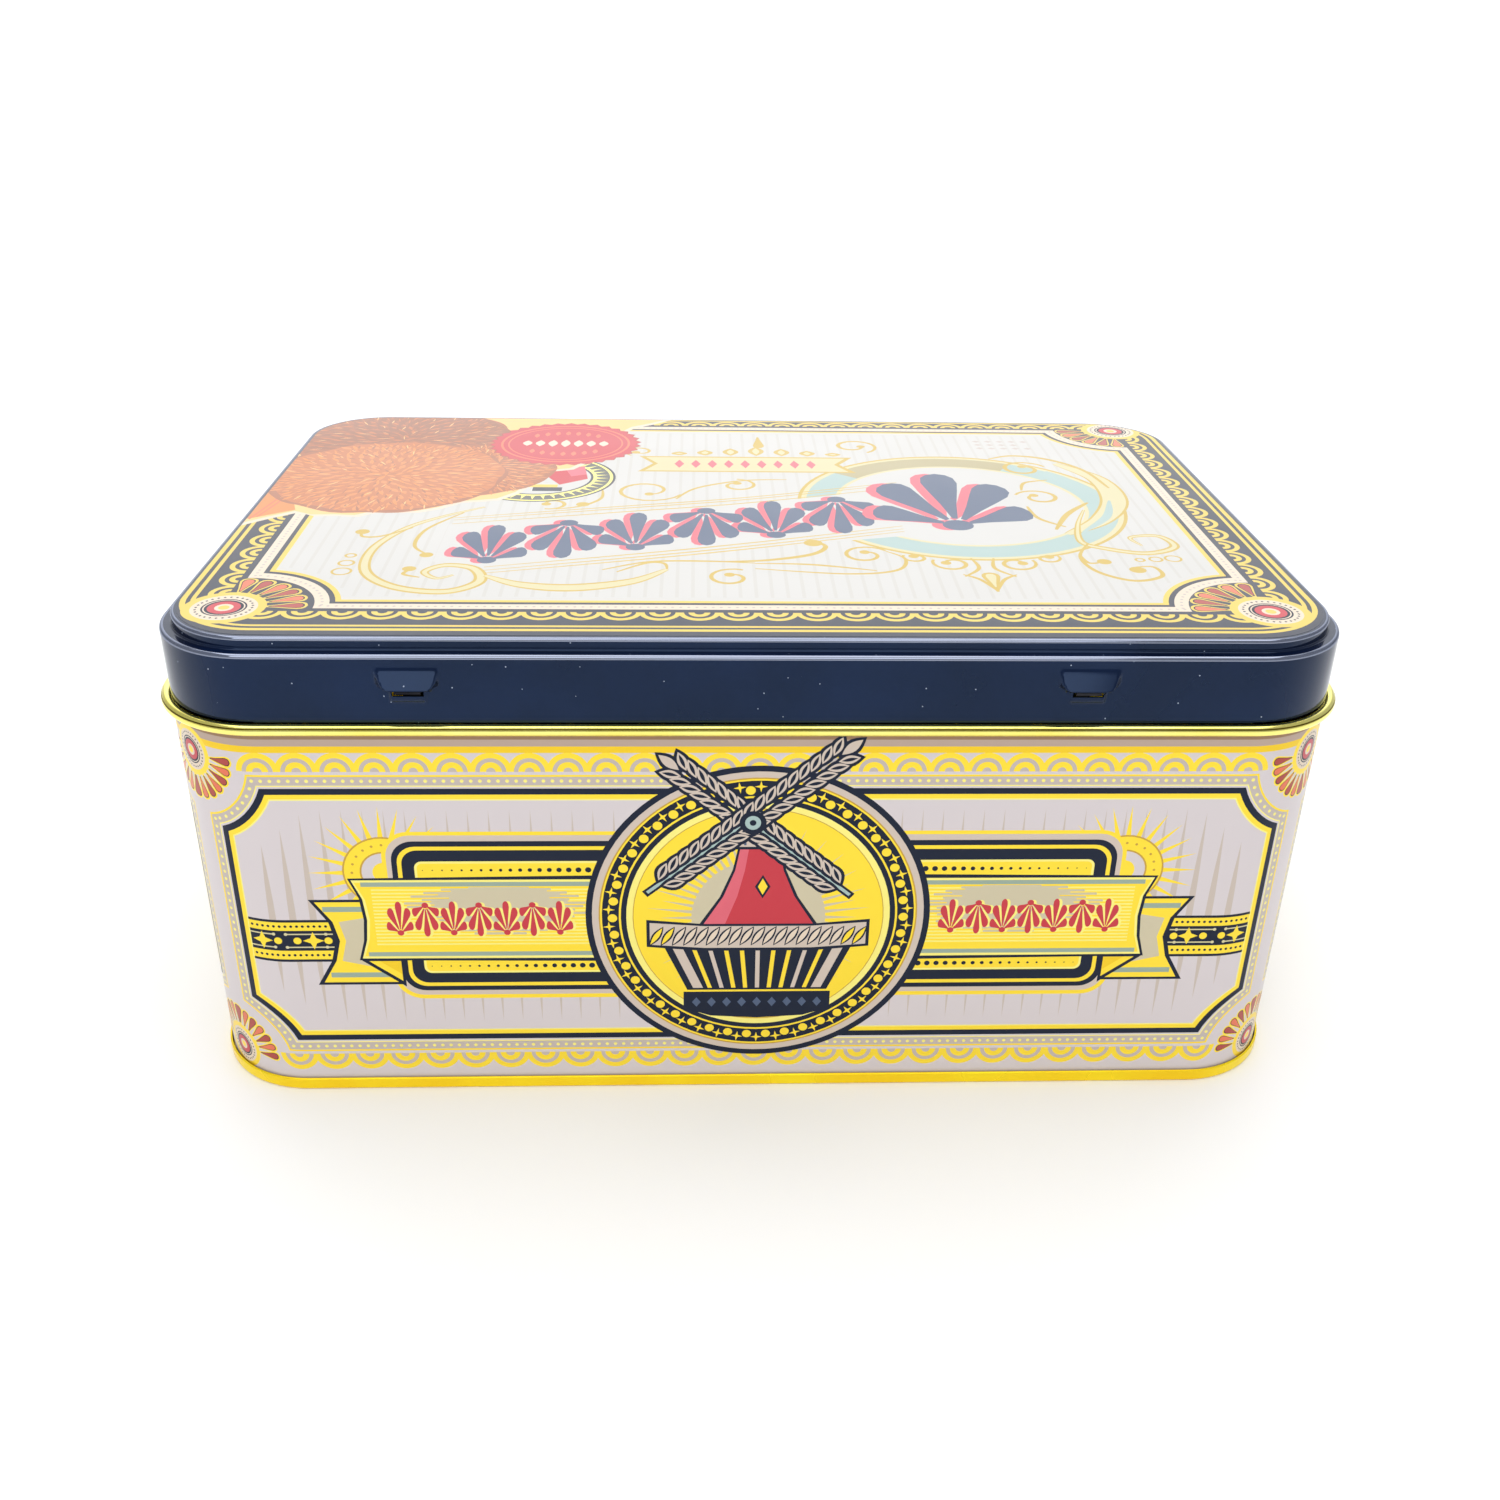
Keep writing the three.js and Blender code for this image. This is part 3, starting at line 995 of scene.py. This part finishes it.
def ribbon_panel(board):
    """Main panel of the ribbon: fine rules that fade into a grey patch."""
    right = -10  # under the medallion
    board.both("navy", moved(RIBBON_END, -0.55) + [(right, 26.5), (right, 43.9)])
    for colour, step, squeeze, low, high in (("pale_gold", 0.0, 0.955, 27.3, 43.0),
                                             ("gold", 0.45, 0.9, 27.9, 42.5)):
        end = [(x + step, MIDDLE + (y - MIDDLE) * squeeze) for x, y in RIBBON_END]
        board.both(colour, end + [(right, low), (right, high)])
    for z in (42.1, 28.3):
        board.both("teal", box(-64.9, z - 0.42, right, z + 0.42))
    rules = [30.15 + 0.67 * k for k in range(17)]
    for z in rules:
        board.both("pale_gold", box(-63.3, z, right, z + 0.3))
    for k, z in enumerate(rules):
        fade = 1 - ((z - 37.2) / 5.2) ** 2
        if fade > 0:
            reach = 15.0 * math.sqrt(fade) + 1.5 * math.sin(k * 2.3)
            board.both("khaki", box(-42.5 - reach, z, -42.5 + reach * 0.9, z + 0.45))
            core = reach - 4.5
            if core > 0:
                board.both("khaki", box(-42.5 - core, z, -42.5 + core, z + 0.67))


def ornaments(board, spots, front, back, shift, slim=0.54):
    """Palmettes at (x, y, height), each with a shadow beside it."""
    for colour, offset in ((back, shift), (front, 0.0)):
        for k, (x, y, tall) in enumerate(spots):
            for shape in motif(k, tall, slim):
                board.add(colour, turned(shape, x + offset * tall, y))


def level_row(x, y, tall, pitch, count):
    return [(x + (k - (count - 1) / 2) * pitch, y, tall) for k in range(count)]


def motif(k, tall, slim):
    """A palmette that stands upright when k is even and hangs when it is odd."""
    flip = 1 if k % 2 == 0 else -1
    root = -0.41 * tall
    made = [disc(0, flip * root, 0.085 * tall)]
    for angle, reach, wide in ((90, 0.94, 0.3), (57, 0.86, 0.3), (123, 0.86, 0.3), (22, 0.66, 0.26),
                               (158, 0.66, 0.26)):
        leaf = petal(0, root, angle, 0.11 * tall, reach * tall, wide * tall)
        made.append([(slim * u, flip * v) for u, v in leaf])
    return made


def medallion(board, x, y):
    """Round central badge with rings, balls, small stars and a starburst."""
    discs(board, x, y, ("navy", 28.8), ("warm_grey", 27.75), ("ochre", 26.65), ("gold", 26.4),
          ("navy", 26.1), ("gold", 23.3), ("navy", 22.95), ("pale_gold", 22.05), ("ochre", 21.0),
          ("gold", 20.85), ("khaki", 11.2))
    count = 46
    for k in range(count):
        angle = 360 * k / count
        between = angle + 180 / count
        board.add("gold", disc(*polar(x, y, 24.35, angle), 0.8))
        board.add("gold", star(*polar(x, y, 25.0, between), 4, 1.05, 0.3, between))
    for k in range(60):
        board.add("khaki", ray(x, y, 6 * k, 11.0, 16.5 + 2.2 * (k % 2), 0.62))


def wheat(board, x0, y0, x1, y1):
    """One long wheat ear with navy outlines, from stalk end to tip."""
    long = math.hypot(x1 - x0, y1 - y0)
    angle = math.degrees(math.atan2(y1 - y0, x1 - x0))

    def lay(colour, shape):
        board.add(colour, turned(shape, x0, y0, angle))

    def grains(colour, length, width):
        for u in spread(0.07 * long, 0.95 * long, 16):
            for sign in (-1, 1):
                lay(colour, lens(u, sign * 1.5, length, width, sign * 28))

    lay("navy", box(-2.2, -0.7, long * 0.5, 0.7))
    lay("sky", box(-1.7, -0.28, long * 0.5, 0.28))
    for colour, grow in (("navy", 0.9), ("warm_grey", 0.0)):
        grains(colour, 3.6 + grow * 1.7, 1.5 + grow * 1.3)
        lay(colour, lens(long * 0.99, 0, 4.2 + grow * 1.7, 1.6 + grow * 1.3, 0))
    grains("navy", 2.7, 0.6)


def emblem(board, x):
    """Generic still life: a red jar in a ribbed basket under crossed wheat ears."""

    def lay(colour, outline):
        board.add(colour, moved(outline, x))

    jar = [(-3.1, 49.2), (-4.0, 44.5), (-5.9, 39.5), (-9.2, 34.0)]
    lay("navy", [(u * 1.1, 41 + (v - 41) * 1.05) for u, v in symmetric(jar)])
    lay("red", symmetric(jar))
    lay("pink", jar + [(-5.6, 34), (-3.6, 39.5), (-2.4, 44.5), (-1.7, 49.2)])
    lay("navy", box(-4.3, 48.6, 4.3, 52.2))
    lay("warm_grey", box(-3.8, 49.1, 3.8, 51.7))
    for u in (-2.4, 0, 2.4):
        lay("steel", box(u - 0.2, 49.4, u + 0.2, 51.4))
    lay("navy", diamond(0.6, 41.4, 2.6, 4.6))
    lay("gold", diamond(0.6, 41.4, 1.6, 3.2))
    lay("navy", [(-16.2, 30.3), (16.2, 30.3), (11.9, 20.4), (-11.9, 20.4)])
    for k in range(-5, 6):
        top, foot = 2.75 * k, 2.02 * k
        wide = 0.85 if abs(k) == 5 else 0.36
        rib = [(top - wide, 29.6), (top + wide, 29.6), (foot + wide, 20.9), (foot - wide, 20.9)]
        lay("warm_grey" if abs(k) == 5 or k % 3 == 0 else "gold", rib)
    rim = symmetric([(-9, 29.2), (-18.2, 29.9), (-18.2, 34.3), (-9, 33.6)])
    lay("navy", [(u * 1.03, 31.7 + (v - 31.7) * 1.24) for u, v in rim])
    lay("warm_grey", rim)
    for k in range(-9, 10):
        lay("navy", lens(1.9 * k, 31.6, 4.6, 1.5, 58))
        lay("gold" if abs(k) > 7 else "cream", lens(1.9 * k, 31.6, 3.9, 0.85, 58))
    foot = [(-12.6, 20.3), (12.6, 20.3), (12.6, 16.6), (8, 15.0), (0, 14.5), (-8, 15.0)]
    lay("navy", foot + [(-12.6, 16.6)])
    lay("gold", box(-12.6, 20.1, 12.6, 20.5))
    for k in range(-4, 5):
        lay("steel", diamond(2.6 * k, 17.9, 1.5, 2.0))
    wheat(board, x + 13.8, 40.8, x - 15.0, 64.9)
    wheat(board, x - 17.2, 41.4, x + 14.6, 67.6)
    discs(board, x - 1.2, 53.6, ("navy", 2.2), ("sky", 1.3), ("navy", 0.55))


def new_side(half):
    """Ground, spindles and border of a side whose straight stretch is 2 * half long."""
    edge = half + QUARTER / 2
    board = Board(box(-edge, 1.9, edge, 69.9), "ground", corner_creases(half))
    needles(board, edge - 7)
    wall_frame(board, edge)
    return board


def long_side():
    """The rear, which the photograph shows, and the front, which repeats it."""
    board = new_side(CX)
    sunburst(board, -60.8, 44.4)
    side_band(board, 70.0, 84.4)
    cartouche(board)
    ribbon_tail(board)
    ribbon_panel(board)
    for x in (-46, 46):
        ornaments(board, level_row(x, 35.3, 6.6, 4.4, 7), "red", "pale_gold", 0.07)
    medallion(board, 0.3, 35.3)
    emblem(board, 0.3)
    return board.cut()


def short_side():
    """The narrow sides carry the same border round a plain panel with a row of palmettes."""
    board = new_side(CY)
    for colour, wide, tall, r in (
        ("gold", 37.0, 16.4, 4.6),
        ("warm_grey", 36.3, 15.7, 4.0),
        ("navy", 35.5, 14.8, 3.6),
        ("gold", 34.6, 13.8, 3.0),
        ("navy", 33.9, 13.1, 2.6),
        ("gold", 31.9, 11.1, 1.6),
    ):
        board.add(colour, rounded(-wide, MIDDLE - tall, wide, MIDDLE + tall, r))
    for k in range(17):
        z = MIDDLE - 5.36 + 0.67 * k
        board.add("veil", box(-30, z, 30, z + 0.3))
    ornaments(board, level_row(0, MIDDLE, 8.4, 6.2, 9), "red", "pale_gold", 0.06)
    return board.cut()


for name, art, turn, half in (
    ("wall_print_long_sides", long_side(), 0, CX),
    ("wall_print_short_sides", short_side(), 90, CY),
):
    sheets = [(art, wall_place(turn, half)), (art, wall_place(turn + 180, half))]
    printed(name, "body", sheets)


# ---- lid artwork ----
def lid_place(x, y):
    return Vector((x, y, TOP)), Vector((0, 0, 1))


def lid_outline(inset):
    r = PANEL - 1.0 - inset
    return rounded(-CX - r, -CY - r, CX + r, CY + r, r)


SHIFT_X = -0.2  # the print sits a little off the middle of the panel
SHIFT_Y = 2.45
FIELD_X, FIELD_Y = 83.3, 53.7  # corner points that the lid's field is scooped out around


def scale_row(board, x0, y0, x1, y1, facing):
    pitch = 6.2
    count = round(math.hypot(x1 - x0, y1 - y0) / pitch)
    spots = zip(spread(x0, x1, count), spread(y0, y1, count))
    scales(board, spots, facing, ("lid_gold", "lid_navy"), (3.35, 2.45, 1.75, 0.8))


def lid_border(board):
    """Gold lines, scales, dotted band and corner rosettes around the panel."""
    x, y = SHIFT_X, SHIFT_Y
    for near, far in ((0.15, 1.05), (1.75, 2.45)):
        line = hollow(lid_outline(near), lid_outline(far))
        board.add("lid_gold", moved(line, x, y - 0.9))
    for side in (-1, 1):
        a = x + side * 84.9
        b = y + side * 55.05
        scale_row(board, a, y - 47.5, a, y + 47.5, 90 - 90 * side)
        scale_row(board, x - 77.8, b, x + 77.8, b, 90 * side)
    for colour, a, b, r in (
        ("cream", 83.8, 53.85, 13.0),
        ("lid_navy", 81.8, 51.85, 15.3),
        ("lid_gold", 81.0, 51.0, 16.2),
        ("white", 80.1, 50.1, 17.1),
    ):
        board.add(colour, notched(a, b, FIELD_X, FIELD_Y, r, x, y))
    lid_dots(board, x, y)
    stripes(board, x, y)
    corner_rosettes(board, x - 0.4, y, 83.7, 53.7, (5, -86, 94, -176), 80, 1.48, "lid_gold")


def lid_dots(board, x, y):
    """Grey dots along the cream band."""
    r = 14.15
    pitch, size = 1.3, 0.28
    for side in (-1, 1):
        dotted(board, "shade", x - 69.4, x + 69.4, y + side * 52.85, pitch, size)
        for k in range(62):
            board.add("shade", disc(x + side * 82.8, y - 39.65 + pitch * k, size))
        for k in range(1, 17):
            u, v = polar(FIELD_X, FIELD_Y, -r, 90 * k / 17)
            for end in (-1, 1):
                board.add("shade", disc(x + side * u, y + end * v, size))


def stripes(board, x, y):
    """Faint pinstripes of the field, cut short where the corners are scooped out."""
    reach = 17.4
    for k in range(-30, 31):
        u = 2.6 * k
        away = FIELD_X - abs(u)
        tall = 48.6
        if away < reach:
            tall = FIELD_Y - math.sqrt(reach**2 - away**2) - 1.2
        board.add("stripe", box(x + u - 0.3, y - tall, x + u + 0.3, y + tall))


def gilt(board, *lines, width=0.75):
    """Thin gold lines that taper towards both ends."""
    for points in lines:
        board.add("scroll", *ribbon(bow(points, 8), width, 0.55))


def ball(board, x, y, r):
    board.add("scroll", disc(x, y, r))


def band_of_gilt(board, points, width):
    """A pale band with a gold line on both sides."""
    line = bow(points, 8)
    board.add("scroll", *ribbon(line, width, 0.75))
    board.add("veil", *ribbon(line, width - 1.1, 0.75))


def curl(board, x, y, r, start, turn, width=0.8):
    """A spiral that ends in a small ball."""
    line = scroll(x, y, r, r * 0.32, start, start + turn)
    board.add("scroll", *ribbon(line, width, 0.3))
    ball(board, *line[-1], 0.95)


def bead_ring(board, x, y, r):
    discs(board, x, y, ("scroll", r), ("white", r - 0.45))


def left_scrolls(board):
    sweep = [(-49.8, -0.6), (-57.0, -6.5), (-62.6, -13.3), (-66.3, -24.0), (-65.4, -35.0)]
    sweep += [(-59.5, -42.0), (-51.0, -44.0), (-46.0, -39.5), (-47.6, -33.4), (-52.6, -31.8)]
    sweep += [(-55.6, -35.0), (-53.2, -38.0), (-50.6, -36.4)]
    band_of_gilt(board, sweep, 2.4)
    gilt(board, [(-53.2, -3.9), (-58.6, -13.3), (-59.4, -22.0), (-56.5, -26.6)],
         [(-69.9, -15.2), (-69.2, -17.6), (-65.9, -17.2), (-61.2, -12.6)],
         [(-57.5, -33.0), (-59.0, -36.0), (-56.0, -37.6)])
    for x, y, r in ((-56.6, -26.8, 1.2), (-69.8, -15.0, 1.3), (-58.4, -33.6, 1.2)):
        ball(board, x, y, r)
    for y, r in ((-27.3, 1.1), (-31.0, 1.5), (-35.0, 1.8)):
        bead_ring(board, -69.4, y, r)
    leaf = [(-45.4, -36.6), (-39.1, -40.7), (-30.4, -42.0), (-20.8, -39.0), (-15.0, -33.2)]
    band_of_gilt(board, leaf, 3.4)
    gilt(board, [(-15.0, -33.2), (-15.6, -30.4), (-18.5, -30.2), (-23.5, -34.6)],
         [(-26.0, -33.6), (-18.0, -29.6), (-8.0, -29.2), (0.0, -30.0)],
         [(-28.4, 10.8), (-28.4, 5.0), (-31.8, 0.4), (-36.5, -1.6)],
         [(-14.0, 5.0), (-10.0, 12.0), (-1.0, 17.0), (8.0, 18.0)])
    ball(board, -31.6, 1.4, 1.3)
    for x, y, r, start, turn in ((-4.2, -37.0, 4.2, 60, 400), (-19.6, 10.2, 7.0, -20, -420),
                                 (-37.5, 1.6, 3.2, 250, 300), (-2.0, 14.0, 4.0, 90, -360)):
        curl(board, x, y, r, start, turn)


def right_scrolls(board):
    pendant = 40
    for side in (-1, 1):
        start = 90 - 60 * side
        curl(board, pendant + side * 5.6, -29.6, 3.6, start, -side * 380)
        curl(board, pendant + side * 11.6, -26.8, 2.4, start, -side * 330, 0.7)
        for line in (((2.0, -27.0), (1.4, -32.0), (4.4, -36.0)),
                     ((4.6, -35.0), (2.0, -37.5), (0.0, -42.6))):
            gilt(board, [(pendant + side * u, v) for u, v in line])
    board.add("scroll", petal(pendant, -43.0, 90, 0.0, 9.0, 3.2))
    board.add("veil", petal(pendant, -42.0, 90, 1.2, 7.4, 1.8))
    ball(board, 10.8, -19.6, 1.7)
    tail = [(10.8, -18.2), (12.9, -21.5), (10.0, -25.6), (2.0, -28.6), (-6.0, -29.4)]
    gilt(board, tail, width=1.1)
    curl(board, 19.6, -25.6, 4.4, 30, 420)
    gilt(board, [(23.4, -23.6), (26.4, -27.6), (24.2, -33.2), (15.4, -35.0), (0.0, -32.7)],
         [(20.8, -33.4), (13.5, -31.4), (8.0, -30.4), (0.0, -30.2)])
    band_of_gilt(board, [(64.2, 0.1), (61.0, -9.0), (59.6, -18.0), (62.9, -21.5), (70.0, -24.0),
                         (76.0, -20.5), (74.6, -14.8), (69.2, -15.6), (70.2, -20.0)], 2.0)
    loose = [(60.6, -19.0), (57.6, -26.0), (58.9, -33.3), (64.2, -37.6), (69.6, -35.4)]
    gilt(board, loose + [(69.4, -31.0), (66.2, -31.0)], width=0.95)
    ball(board, 66.2, -32.4, 1.5)
    gilt(board, [(57.7, -24.5), (58.4, -29.0), (61.2, -28.6)])
    ball(board, 61.3, -28.4, 1.3)
    for x, r in ((67.9, 1.0), (70.8, 1.35), (74.0, 1.65)):
        bead_ring(board, x, -27.4 + (x - 68) * 0.12, r)


def crest(board):
    """Leaves that climb the right side of the ring."""
    band_of_gilt(board, [(58.0, -14.0), (66.0, -6.0), (71.6, 6.0), (71.4, 20.0), (65.0, 30.5)], 5.6)
    board.add("sky", *ribbon(bow([(61.0, -13.0), (67.6, -4.0), (70.6, 6.0)], 8), 1.7, 0.8))
    gilt(board, [(56.4, -11.5), (60.5, -2.5), (66.0, 4.6)], width=1.2)
    gilt(board, [(53.6, 2.0), (54.4, -5.0), (58.6, -10.0)], width=0.9)
    board.add("sky", *ribbon(bow([(62.0, 25.0), (65.5, 18.0), (66.0, 10.0)], 8), 2.2, 0.8))
    curl(board, 57.6, 26.6, 5.0, 20, 430, 1.0)
    curl(board, 57.0, 7.6, 4.6, 160, -400, 0.9)
    outer = [(51.5, 33.5), (57.0, 36.0), (64.0, 33.6), (70.0, 26.0), (72.5, 14.0)]
    gilt(board, outer, width=1.1)
    gilt(board, [(54.4, 12.0), (56.0, 17.0), (61.0, 19.0)], width=0.8)


def ring_and_band(board):
    """Pale ring behind the slanted row, and the clear band the row stands on."""
    x, y = 41.0, 3.4
    outer, inner = 29.9, 24.4
    discs(board, x, y, ("scroll", 31.6), ("veil", 30.9), ("sky", outer), ("veil", inner),
          ("white", 23.6))
    board.add("olive", arc(x, y, outer, 62, 140) + arc(x, y, inner, 140, 62))
    board.add("white", [(-55, -10.5), (0, 2.5), (44, 17), (60, 4), (50, -15), (28, -15.5),
                        (-8, -24.5), (-46, -35), (-55, -30)])
    for line, lifts in (
        ([(-54.5, -7.0), (-24, 0.4), (0, 6.4), (30, 16.6)], (0.0, -1.3, -3.4)),
        ([(-46, -35.6), (-20, -28.6), (0, -22.6), (28, -13.0)], (0.0, 1.4, 3.0)),
    ):
        gilt(board, *[moved(line, 0, lift) for lift in lifts], width=0.5)


def title_band(board):
    """Small ribbon with a row of red lozenges, and a crown of gold scales above it."""
    for colour, left, right, top, foot, nick in (("scroll", -22, 22.5, 33.6, 22.8, 3),
                                                 ("veil", -20.6, 21.0, 32.9, 23.5, 2.6)):
        upper = [(left, top), (right, top), (right - nick, 28.4)]
        board.add(colour, upper + [(right, foot), (left, foot), (left + nick, 28.4)])
    for k in range(9):
        board.add("pink", diamond(-13.6 + 3.4 * k, 28.3, 2.0, 5.6))
    for k in range(-3, 4):
        x = 5.4 * k + 2.5
        tall = 6.6 - 1.3 * abs(k)
        board.add("scroll", lens(x, 34.4 + tall / 2, tall, 3.4, 90))
        board.add("veil", lens(x, 34.4 + tall / 2, tall - 1.8, 1.5, 90))
    board.add("scroll", petal(3.2, 48.6, -90, 0.0, 8.4, 2.4))
    curl(board, 23.6, 42.0, 5.2, -60, 420, 0.9)
    curl(board, -22.0, 37.0, 3.4, 240, -380, 0.7)
    for k in range(3):
        for j in range(5 - k % 2):
            board.add("shade", diamond(51 + 2.6 * j, 41.5 + 2.6 * k, 1.8, 1.5))


# the torn edge of the corner picture
TEAR = [(-96, -14.6), (-92.6, -12.6), (-88.4, -8.6), (-83.6, -4.6), (-80.2, -6.6), (-76.0, -6.4),
        (-72.2, -6.8), (-69.6, -4.6), (-65.6, -4.4), (-61.6, -4.2), (-57.6, -1.8), (-54.4, 1.8),
        (-50.6, 2.6), (-47.4, 3.6), (-44.2, 7.8), (-42.6, 12.6), (-45.8, 15.4), (-42.2, 18.2),
        (-41.2, 21.6), (-37.8, 22.6), (-35.0, 23.6), (-32.6, 28.0), (-28.8, 30.0), (-26.2, 34.6),
        (-23.4, 38.0), (-22.4, 45.4), (-25.2, 52.0), (-23.6, 55.2), (-19.8, 58.0), (-14.2, 63.6),
        (-10.0, 68.0)]


def small_badge(board):
    """A round badge that the torn picture half covers."""
    x, y = -41.5, 18.0
    discs(board, x, y, ("lid_navy", 15.3), ("pale_gold", 14.8), ("slate", 14.2),
          ("pale_gold", 11.6), ("lid_navy", 10.9), ("white", 10.4))
    for k in range(40):
        board.add("pale_gold", ray(x, y, 9 * k, 11.4, 13.9, 0.9))
    for colour, shape in (
        ("red", [(0.5, 3), (8.6, 8.2), (9.8, -0.5), (4.5, -4.5)]),
        ("pink", [(5.0, 5.6), (8.6, 8.2), (9.4, 2.5), (6.4, 1.0)]),
        ("lid_navy", box(-0.5, -8.6, 5.2, -6.2)),
        ("lid_gold", box(-2.2, -6.2, 4.2, -4.4)),
    ):
        board.add(colour, moved(shape, x, y))


def picture(board):
    """Torn corner picture of plain round biscuits on a warm ground."""
    corner = [(-10.0, 70.0), (-96.0, 70.0)]
    board.add("cream", TEAR + corner)
    board.add("peach", moved(TEAR, -0.85, 0.95) + corner)
    board.add("amber", [(-96, -9.5), (-91.4, -8), (-84.5, -3.0), (-89.5, 14), (-96, 16)])
    for shift in (0.0, 1.1):
        line = [(-91.6 + shift, -8.4 + shift), (-89.2 + shift, 4.0), (-88.8 + shift, 30.0)]
        board.add("coral", *ribbon(line, 0.4))
    for x, y, r, top, middle, light in (
        (-72.0, 44.0, 23.0, "brown_crust", "crust", "biscuit"),
        (-56.0, 23.6, 17.4, "crust", "biscuit", "crumb"),
        (-71.6, 18.8, 23.4, "biscuit", "crumb", "amber"),
    ):
        board.add("crust", biscuit_outline(x, y, r))
        board.add(top, biscuit_outline(x + 0.1, y + 0.5, r - 0.8))
        for colour, count, seed, wide in ((middle, 260, r, 1.3), ("crust", 200, r + 0.5, 0.55),
                                          (light, 200, r + 0.9, 0.8), ("peach", 70, r + 1.4, 0.3)):
            crumbs(board, x, y, r, count, colour, seed, wide)


def biscuit_outline(x, y, r):
    """A round biscuit with a slightly uneven edge."""
    made = []
    for k in range(72):
        angle = 2 * math.pi * k / 72
        wobble = r * (0.985 + 0.03 * abs(math.sin(5 * angle + r)) + 0.008 * math.sin(13 * angle))
        made.append((x + wobble * math.cos(angle), y + wobble * math.sin(angle)))
    return made


def crumbs(board, x, y, r, count, colour, seed, wide):
    """Short strokes that rake across a biscuit's top, set out along a sunflower spiral."""
    golden_turn = 2.39996
    for k in range(count):
        turn = math.degrees(golden_turn * (k + seed))
        spot = polar(x, y, r * 0.95 * math.sqrt((k + 0.5) / count), turn)
        long = 1.4 + 2.0 * abs(math.sin(k * 1.7 + seed))
        lean = turn + 24 * math.sin(k * 0.9 + seed)
        board.add(colour, lens(*spot, long, wide * (0.7 + 0.3 * math.sin(k * 2.1)), lean))


def seal(board):
    """Red scalloped seal with a row of upright lozenges."""
    x, y = -38.0, 42.5
    board.add("rust", star(x, y, 34, 16.2, 15.2))
    board.add("red", star(x, y, 34, 15.8, 14.9))
    for outer, inner in ((13.7, 13.2), (12.2, 11.9)):
        board.add("coral", hollow(disc(x, y, outer), disc(x, y, inner)))
    for k in range(-3, 4):
        board.add("cream", lens(x + 2.7 * k, y, 5.4 - 0.5 * abs(k), 2.0, 90))
    for k in range(-3, 4):
        for side in (1, -1):
            board.add("coral", lens(x + 2.2 * k, y + side * (7.8 - 0.22 * k * k), 3.0, 1.1, 90))


def lid_art():
    board = Board(lid_outline(0.0), "lid_navy")
    lid_border(board)
    ring_and_band(board)
    crest(board)
    left_scrolls(board)
    right_scrolls(board)
    title_band(board)
    row = [(-46 + 12.6 * k, -21.2 + 3.6 * k, 19.5 + 0.3 * k) for k in range(6)]
    ornaments(board, row, "steel", "pink", -0.06)
    ornaments(board, [(38.5, 4.6, 34.0)], "steel", "pink", -0.06, 0.72)
    small_badge(board)
    picture(board)
    seal(board)
    return board.cut()


printed("lid_print", "lid", [(lid_art(), lid_place)])


# ---- room ----
def make_camera():
    """Camera at the photograph's place: above and in front of the hinge side."""
    yaw, pitch, roll = 0.0495, 0.4897, 0.0226
    level = math.cos(pitch)
    ahead = Vector((math.sin(yaw) * level, math.cos(yaw) * level, -math.sin(pitch)))
    right = Vector((math.cos(yaw), -math.sin(yaw), 0))
    up = right.cross(ahead)
    side = right * math.cos(roll) + up * math.sin(roll)
    top = up * math.cos(roll) - right * math.sin(roll)
    data = bpy.data.cameras.new("photo_view")
    data.sensor_width = 36
    data.lens = 35.88
    data.shift_x = -0.0091
    data.shift_y = 0.0116
    data.clip_start = 0.01
    data.clip_end = 20
    camera = bpy.data.objects.new("photo_view", data)
    spot = Vector((-9.736, -273.729, 175.146)) * MM
    facing = Matrix((side, top, -ahead)).transposed().to_4x4()
    camera.matrix_world = Matrix.Translation(spot) @ facing
    bpy.context.scene.collection.objects.link(camera)
    bpy.context.scene.camera = camera


def make_floor():
    """Plain pale floor that curves up far behind the tin."""
    half = 6.0
    bend = 0.9  # radius of the curve
    start = 1.2  # where it begins, behind the tin
    line = [(-half, 0.0), (start, 0.0)]
    line += [polar(start, bend, bend, angle) for angle in spread(-78.75, 0, 7)]
    line += [(start + bend, 3.4)]
    points = []
    for y, z in line:
        points += [(-half, y, z + base_low.z), (half, y, z + base_low.z)]
    faces = [(2 * k, 2 * k + 1, 2 * k + 3, 2 * k + 2) for k in range(len(line) - 1)]
    mesh = bpy.data.meshes.new("floor")
    mesh.from_pydata(points, [], faces)
    mesh.shade_smooth()
    mesh.materials.append(lacquer("floor_paper", (250, 250, 250), 0.0, (0.55, 0.7), 0.2, 0.05))
    piece = bpy.data.objects.new("floor", mesh)
    bpy.context.scene.collection.objects.link(piece)


def softbox(name, place, aim, wide, tall, power):
    """A soft rectangular lamp that the camera itself doesn't see."""
    data = bpy.data.lights.new(name, "AREA")
    data.shape = "RECTANGLE"
    data.size = wide
    data.size_y = tall
    data.energy = power
    lamp = bpy.data.objects.new(name, data)
    lamp.location = place
    lamp.rotation_euler = (Vector(aim) - Vector(place)).to_track_quat("-Z", "Y").to_euler()
    lamp.visible_camera = False
    bpy.context.scene.collection.objects.link(lamp)


def make_light():
    world = bpy.data.worlds.new("studio")
    world.use_nodes = True
    tune(world.node_tree.nodes["Background"], Color=srgb(250, 252, 255), Strength=0.45)
    bpy.context.scene.world = world
    softbox("overhead", (0.0, 0.05, 1.2), (0, 0, 0.04), 1.4, 1.1, 9.5)
    softbox("back_panel", (0.0, 1.5, 0.8), (0, 0, 0.08), 2.6, 1.1, 4.8)
    softbox("front_fill", (-0.2, -1.4, 0.95), (0, 0, 0.04), 1.5, 1.0, 9.5)
    softbox("backdrop_wash", (0.0, 1.0, 1.6), (0, 2.1, 0.2), 2.4, 0.6, 15)
    bpy.context.scene.view_settings.view_transform = "Standard"


make_camera()
make_floor()
make_light()
